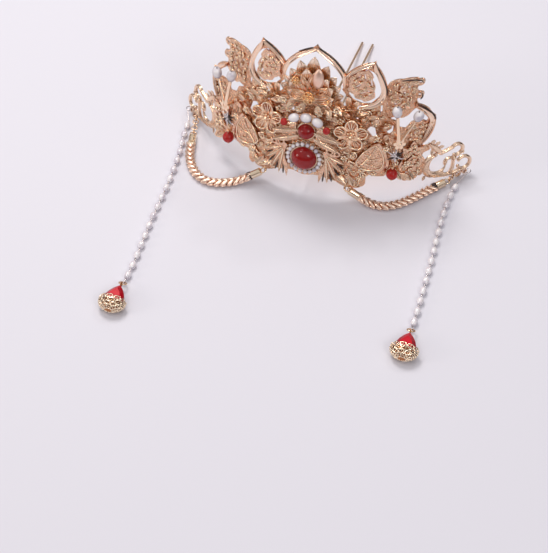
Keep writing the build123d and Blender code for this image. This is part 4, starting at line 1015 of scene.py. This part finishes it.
def addCurl(store, x, z, lift, size, turn, way):
    wire = filigree["wire"]
    points = curl(x, z, lift, size, turn, way)
    reach = filigree["tail"] * size
    angle = turn - way * filigree["tailTurn"]
    tail = onCrest(x + reach * math.cos(angle), z + reach * math.sin(angle), lift - filigree["tailDrop"])
    points = [tail] + points
    count = len(points)
    radii = [wire * filigree["tailWire"]]
    radii += [wire * (1 - filigree["thinning"] * k / count) for k in range(count - 1)]
    addTube(store, points, radii)
    addBead(store, points[-1], wire * filigree["eye"], 4, 7)


def addLobes(store, x, z, lift, size, turn):
    # a small leaf of two lobes
    for spread in filigree["lobes"]:
        points = []
        for t in filigree["lobeSteps"]:
            reach = size * filigree["lobeReach"] * t
            angle = turn + spread + spread * t
            points.append(onCrest(x + reach * math.cos(angle), z + reach * math.sin(angle),
                                  lift + filigree["lobeRise"] * math.sin(math.pi * t)))
        addTube(store, points, [filigree["wire"] * share for share in filigree["lobeSwell"]])


def addGrains(store, x, z, out, turn):
    count, ring, rise, bead, heartRise, heart = filigree["flower"]
    for k in range(count):
        angle = turn + 2 * math.pi * k / count
        spot = onCrest(x + ring * math.cos(angle), z + ring * math.sin(angle), out + rise)
        addBead(store, spot, bead, 4, 7)
    addBead(store, onCrest(x, z, out + heartRise), heart, 4, 7)


def makeFiligree():
    for name, side in sides.items():
        dice = random.Random(filigree["seed"] + side)
        store = newStore()
        wire = filigree["wire"]
        for loop, out, spacing, radius in filigree["zones"].values():
            for x, z in scatter([(side * a, b) for a, b in loop], spacing * filigree["closer"], dice):
                size = radius * dice.uniform(*filigree["sizes"])
                turn = dice.uniform(0, 2 * math.pi)
                way = dice.choice((-1, 1))
                lift = out + wire * filigree["lift"]
                kind = dice.random()
                if kind < filigree["kinds"][0]:
                    addCurl(store, x, z, lift, size, turn, way)
                elif kind < filigree["kinds"][1]:
                    addLobes(store, x, z, lift, size, turn)
                else:
                    addGrains(store, x, z, out, turn)
        makePiece("filigree_" + name, store, gold["wire"])


makeFiligree()
print("filigree")

# feather blades and fan rays: fine barbs laid along each
feathers = {
    # start (x, z), tip (x, z), half width, height off the face
    "blades": (((4.6, 50.0), (21.4, 45.5), 2.2, 8.3), ((4.6, 46.2), (20.4, 39.2), 2.0, 8.3),
               ((6.6, 54.0), (15.0, 53.0), 1.3, 8.3)),
    "rays": (((14.4, 34.8), (24.4, 30.6), 1.1, 7.3), ((14.2, 34.0), (23.8, 24.4), 1.1, 7.3),
             ((13.9, 33.4), (20.4, 19.2), 1.1, 7.3), ((13.5, 33.0), (15.6, 15.8), 1.1, 7.3)),
    # painted shade: dark wires in the gaps between the rays; their hub and ends
    "hub": (13.6, 34.0, 7.0), "gaps": ((24.6, 27.2), (22.6, 21.4), (18.2, 16.8), (12.6, 15.6)),
    "gapSteps": (0.45, 0.7, 0.9, 1), "gapRadii": (0.12, 0.5, 0.66, 0.2),
    "quillSteps": (0, 0.2, 0.4, 0.6, 0.8, 1), "quillRadii": (0.42, 0.42, 0.4, 0.36, 0.3, 0.15), "bulge": 0.35,
    # barbs: spacing, share of the blade's length that they swell over, sweep towards the tip, heights
    "spacing": 1.15, "swell": (0.92, 0.06, 0.7), "sweep": 0.9, "barbOut": 0.12, "barbRise": 0.15,
    "barbSteps": (0, 0.5, 1), "barbRadii": (0.26, 0.24, 0.12),
}


def makeFeathers():
    stretch, shift, power = feathers["swell"]
    hub = feathers["hub"]
    for name, side in sides.items():
        store = newStore()
        for start, tip, half, out in feathers["blades"] + feathers["rays"]:
            run = math.hypot(tip[0] - start[0], tip[1] - start[1])
            ux, uz = (tip[0] - start[0]) / run, (tip[1] - start[1]) / run
            quill = [onCrest(side * (start[0] + ux * run * t), start[1] + uz * run * t,
                             out + feathers["bulge"] * math.sin(math.pi * t)) for t in feathers["quillSteps"]]
            addTube(store, quill, feathers["quillRadii"])
            count = int(run / feathers["spacing"])
            for k in range(1, count):
                t = k / count
                reach = half * math.sin(math.pi * min(1, t * stretch + shift)) ** power
                for way in (-1, 1):
                    points = []
                    for share in feathers["barbSteps"]:
                        along = run * t + share * reach * feathers["sweep"]
                        off = way * reach * share
                        height = out + feathers["barbOut"] + feathers["barbRise"] * (1 - share)
                        points.append(onCrest(side * (start[0] + ux * along - uz * off),
                                              start[1] + uz * along + ux * off, height))
                    addTube(store, points, feathers["barbRadii"], 5)
        makePiece("feather_barbs_" + name, store, gold["wire"])
        store = newStore()
        for x, z in feathers["gaps"]:
            points = [onCrest(side * (hub[0] + (x - hub[0]) * t), hub[1] + (z - hub[1]) * t, hub[2])
                      for t in feathers["gapSteps"]]
            addTube(store, points, feathers["gapRadii"])
        makePiece("fan_gap_shade_" + name, store, gold["dark"])


makeFeathers()
print("feathers")

# braided swags: leaf-shaped links in two rows that meet in a herringbone
swag = {
    "routes": {
        "left": [(-33.9, -1.5, 6.4), (-41.2, -4.8, 2.5), (-49.6, -9.6, 2.5), (-58.6, -11.6, 2.5),
                 (-67.4, -8.6, 2.5), (-74.2, -1.2, 2.5), (-79.0, 8.0, 2.5), (-81.2, 17.6, 2.5)],
        "right": [(34.7, 1.6, 6.5), (42.0, 1.7, 2.5), (51.0, 1.6, 2.5), (59.4, 6.6, 2.5),
                  (67.0, 15.0, 2.5), (73.0, 23.0, 2.5), (77.8, 28.6, 2.5)],
    },
    # links: spacing, half sizes of the narrow and the broad row, place off the middle,
    # slant, dip of the tip
    "pitch": 3.9, "inner": (0.95, 0.85, 3.0), "outer": (1.3, 0.95, 3.5), "offset": 1.15, "layer": 0.95,
    "angle": 33.0, "dip": 0.16, "core": 1.1,
}


def makeSwags():
    for name in sides:
        store = newStore()
        spots = smoothRoute(swag["routes"][name])
        addTube(store, spots, swag["core"], 8)
        for point, ahead in walk(spots, swag["pitch"] * mm):
            sideways = ahead.cross(Vector((0, 0, 1))).normalized()
            up = sideways.cross(ahead).normalized()
            for layer in (-1, 1):
                for way in (-1, 1):
                    angle = math.radians(swag["angle"]) * way
                    along = ahead * math.cos(angle) + sideways * math.sin(angle)
                    across = up.cross(along).normalized()
                    middle = point + sideways * (way * swag["offset"] * mm) + up * (layer * swag["layer"] * mm)
                    axes = (across, up, (along - up * (swag["dip"] * layer)).normalized())
                    row = "outer" if way == sides[name] else "inner"
                    addBall(store, middle, tuple(size * mm for size in swag[row]), axes, 8, 10)
        makePiece("swag_braid_" + name, store, gold["satin"], ("swag_" + name,))


makeSwags()
print("swags")

# flat crimps at the caps' ends
crimps = {
    # side, end of the swag, its place in the route, finish; the dark finish is a painted dark reflection
    "rows": (("left", "inner", 0, "dark"), ("right", "outer", -1, "dark"),
             ("right", "inner", 0, "polished"), ("left", "outer", -1, "polished")),
    # along the swag in mm, share of the width and height
    "stations": ((-0.2, 0.5), (0.0, 1.0), (2.4, 1.0), (2.6, 0.5)), "width": 2.75, "height": 2.5,
}


def makeCrimps():
    for name, place, end, finish in crimps["rows"]:
        route = smoothRoute(swag["routes"][name])
        point, ahead = route[end], (route[1] - route[0] if end == 0 else route[-2] - route[-1])
        ahead.normalize()
        sideways = ahead.cross(Vector((0, 0, 1))).normalized()
        up = sideways.cross(ahead).normalized()
        store = newStore()
        rings = []
        for along, size in crimps["stations"]:
            ring = []
            for k in range(4):
                angle = math.pi / 4 + math.pi / 2 * k
                corner = sideways * math.cos(angle) * crimps["width"] + up * math.sin(angle) * crimps["height"]
                ring.append(point + ahead * (along * mm) + corner * (size * mm))
            rings.append(ring)
        addGrid(store, rings, closed=True)
        addCap(store, rings[0][::-1])
        addCap(store, rings[-1])
        makePiece("crimp_" + name + "_" + place, store, gold[finish], sharp=30)


makeCrimps()
print("crimps")

# looped lace rims of the drop cups
lace = {
    "count": 11, "width": 15.4, "height": 9.4, "depth": 6.6, "wire": 0.34, "bead": 0.5, "lift": 0.4,
    # rows of loops: top, tall, wide, shift; the first row stands past the cup's mouth
    "rows": ((-0.26, 0.34, 0.85, 0), (0.12, 0.34, 0.9, 1), (0.46, 0.28, 0.85, 0), (0.72, 0.24, 0.9, 1)),
    "steps": 12, "rimBead": 0.6, "rimAlong": 0.04,
}


def makeLace():
    for name in sides:
        low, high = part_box("drop_cup_" + name)
        mouth = Vector(((low.x + high.x) / 2, low.y + lace["depth"] * mm, (low.z + high.z) / 2))
        store = newStore()

        def onCup(angle, along):
            # along: 0 at the mouth, 1 at the cup's bottom
            share = math.sqrt(max(0.0, 1 - min(along, 1) ** 2)) if along > 0 else 1.0
            return mouth + Vector(((lace["width"] / 2 + lace["lift"]) * share * math.cos(angle),
                                   -along * lace["depth"],
                                   (lace["height"] / 2 + lace["lift"]) * share * math.sin(angle))) * mm

        for step in range(lace["count"]):
            angle = 2 * math.pi * step / lace["count"]
            spread = math.pi / lace["count"]
            for top, tall, wide, shift in lace["rows"]:
                points = []
                for k in range(lace["steps"] + 1):
                    t = 2 * math.pi * k / lace["steps"]
                    points.append(onCup(angle + shift * spread + wide * spread * math.sin(t),
                                        top + tall * (0.5 - 0.5 * math.cos(t))))
                addTube(store, points, lace["wire"], 5)
                addBead(store, onCup(angle + shift * spread, top + tall * 0.5), lace["bead"], 4, 7)
            addBead(store, onCup(angle + spread, lace["rimAlong"]), lace["rimBead"], 4, 7)
        makePiece("cup_lace_" + name, store, gold["lace"])


makeLace()
print("lace")

# floor, camera and lights
stage = {"floor": (0.715, 0.70, 0.765), "size": 3.0}
view = {
    "azimuth": 18.06, "elevation": 49.56, "distance": 0.8, "target": (0.0038, -0.0714, 0.0),
    "lens": 87.75, "sensor": 36, "near": 0.01,
}
studio = {
    "strength": 0.66,
    # a dark patch that the gold reflects: heading, and where it starts and ends
    "darkSide": (0.77, 0.63, 0.1), "darkFrom": 0.72, "darkTo": 0.86,
    # from below to above
    "sky": [(0.0, (0.16, 0.12, 0.11)), (0.2, (0.26, 0.22, 0.21)), (0.5, (0.80, 0.78, 0.80)),
            (1.0, (1.0, 0.99, 1.0))],
    "lampTarget": (0, 0, 0.04),
}
# place, size, power, colour
lamps = {
    "key": ((-0.45, 0.50, 1.15), 0.5, 8.6, (1.0, 0.97, 0.94)),
    "fill": ((0.8, -0.7, 0.9), 0.4, 2.6, (1.0, 0.98, 0.96)),
    "low": ((-0.9, -0.6, 0.4), 0.25, 1.6, (1.0, 0.93, 0.86)),
    "spark": ((0.15, 0.75, 0.95), 0.1, 1.0, (1.0, 0.99, 0.97)),
    "glint": ((-0.55, -0.2, 1.0), 0.09, 0.9, (1.0, 0.98, 0.95)),
}


def makeStage():
    store = newStore()
    half = stage["size"] / 2
    addGrid(store, [[Vector((-half, -half, 0)), Vector((half, -half, 0))],
                    [Vector((-half, half, 0)), Vector((half, half, 0))]])
    mesh = bpy.data.meshes.new("floor")
    mesh.from_pydata([tuple(point) for point in store["points"]], [], store["faces"])
    floor = bpy.data.objects.new("floor", mesh)
    bpy.context.scene.collection.objects.link(floor)
    material, tree, surface, link = newMaterial("paper")
    place = addNode(tree, "ShaderNodeTexCoord")
    grain = addNode(tree, "ShaderNodeTexNoise", Scale=900.0, Detail=2.0)
    link(place.outputs["Object"], grain.inputs["Vector"])
    bump = addNode(tree, "ShaderNodeBump", Strength=0.05, Distance=0.0002)
    link(grain.outputs["Fac"], bump.inputs["Height"])
    link(bump.outputs["Normal"], surface.inputs["Normal"])
    surface.inputs["Base Color"].default_value = (*stage["floor"], 1)
    surface.inputs["Roughness"].default_value = 0.8
    mesh.materials.append(material)


def makeCamera():
    az, el = math.radians(view["azimuth"]), math.radians(view["elevation"])
    back = Vector((math.sin(az) * math.cos(el), -math.cos(az) * math.cos(el), math.sin(el)))
    right = Vector((math.cos(az), math.sin(az), 0))
    up = back.cross(right)
    data = bpy.data.cameras.new("camera")
    data.sensor_fit = "VERTICAL"
    data.sensor_height = view["sensor"]
    data.lens = view["lens"]
    data.clip_start = view["near"]
    camera = bpy.data.objects.new("camera", data)
    bpy.context.scene.collection.objects.link(camera)
    place = Matrix((right, up, back)).transposed().to_4x4()
    place.translation = Vector(view["target"]) + back * view["distance"]
    camera.matrix_world = place
    bpy.context.scene.camera = camera


def makeLights():
    for name, (place, size, power, colour) in lamps.items():
        data = bpy.data.lights.new(name, "AREA")
        data.size = size
        data.energy = power
        data.color = colour
        lamp = bpy.data.objects.new(name, data)
        bpy.context.scene.collection.objects.link(lamp)
        lamp.location = place
        away = Vector(place) - Vector(studio["lampTarget"])
        lamp.rotation_euler = away.to_track_quat("Z", "Y").to_euler()
    world = bpy.data.worlds.new("studio")
    bpy.context.scene.world = world
    world.use_nodes = True
    tree = world.node_tree
    backdrop = tree.nodes["Background"]
    place = addNode(tree, "ShaderNodeTexCoord")
    split = addNode(tree, "ShaderNodeSeparateXYZ")
    tree.links.new(place.outputs["Generated"], split.inputs["Vector"])
    ramp = addNode(tree, "ShaderNodeValToRGB")
    setRamp(ramp, studio["sky"])
    tree.links.new(split.outputs["Z"], ramp.inputs["Fac"])
    toward = addNode(tree, "ShaderNodeVectorMath", {"operation": "DOT_PRODUCT"})
    toward.inputs[1].default_value = studio["darkSide"]
    tree.links.new(place.outputs["Generated"], toward.inputs[0])
    shadow = addNode(tree, "ShaderNodeMapRange", {"interpolation_type": "SMOOTHSTEP"},
                     From_Min=studio["darkFrom"], From_Max=studio["darkTo"], To_Min=1.0, To_Max=0.05)
    tree.links.new(toward.outputs["Value"], shadow.inputs["Value"])
    dim = addNode(tree, "ShaderNodeMix", {"data_type": "RGBA", "blend_type": "MULTIPLY"})
    dim.inputs[0].default_value = 1.0
    tree.links.new(ramp.outputs["Color"], dim.inputs[6])
    tree.links.new(shadow.outputs["Result"], dim.inputs[7])
    tree.links.new(dim.outputs[2], backdrop.inputs["Color"])
    backdrop.inputs["Strength"].default_value = studio["strength"]


makeStage()
makeCamera()
makeLights()
bpy.context.scene.view_settings.view_transform = "Standard"
print("stage")
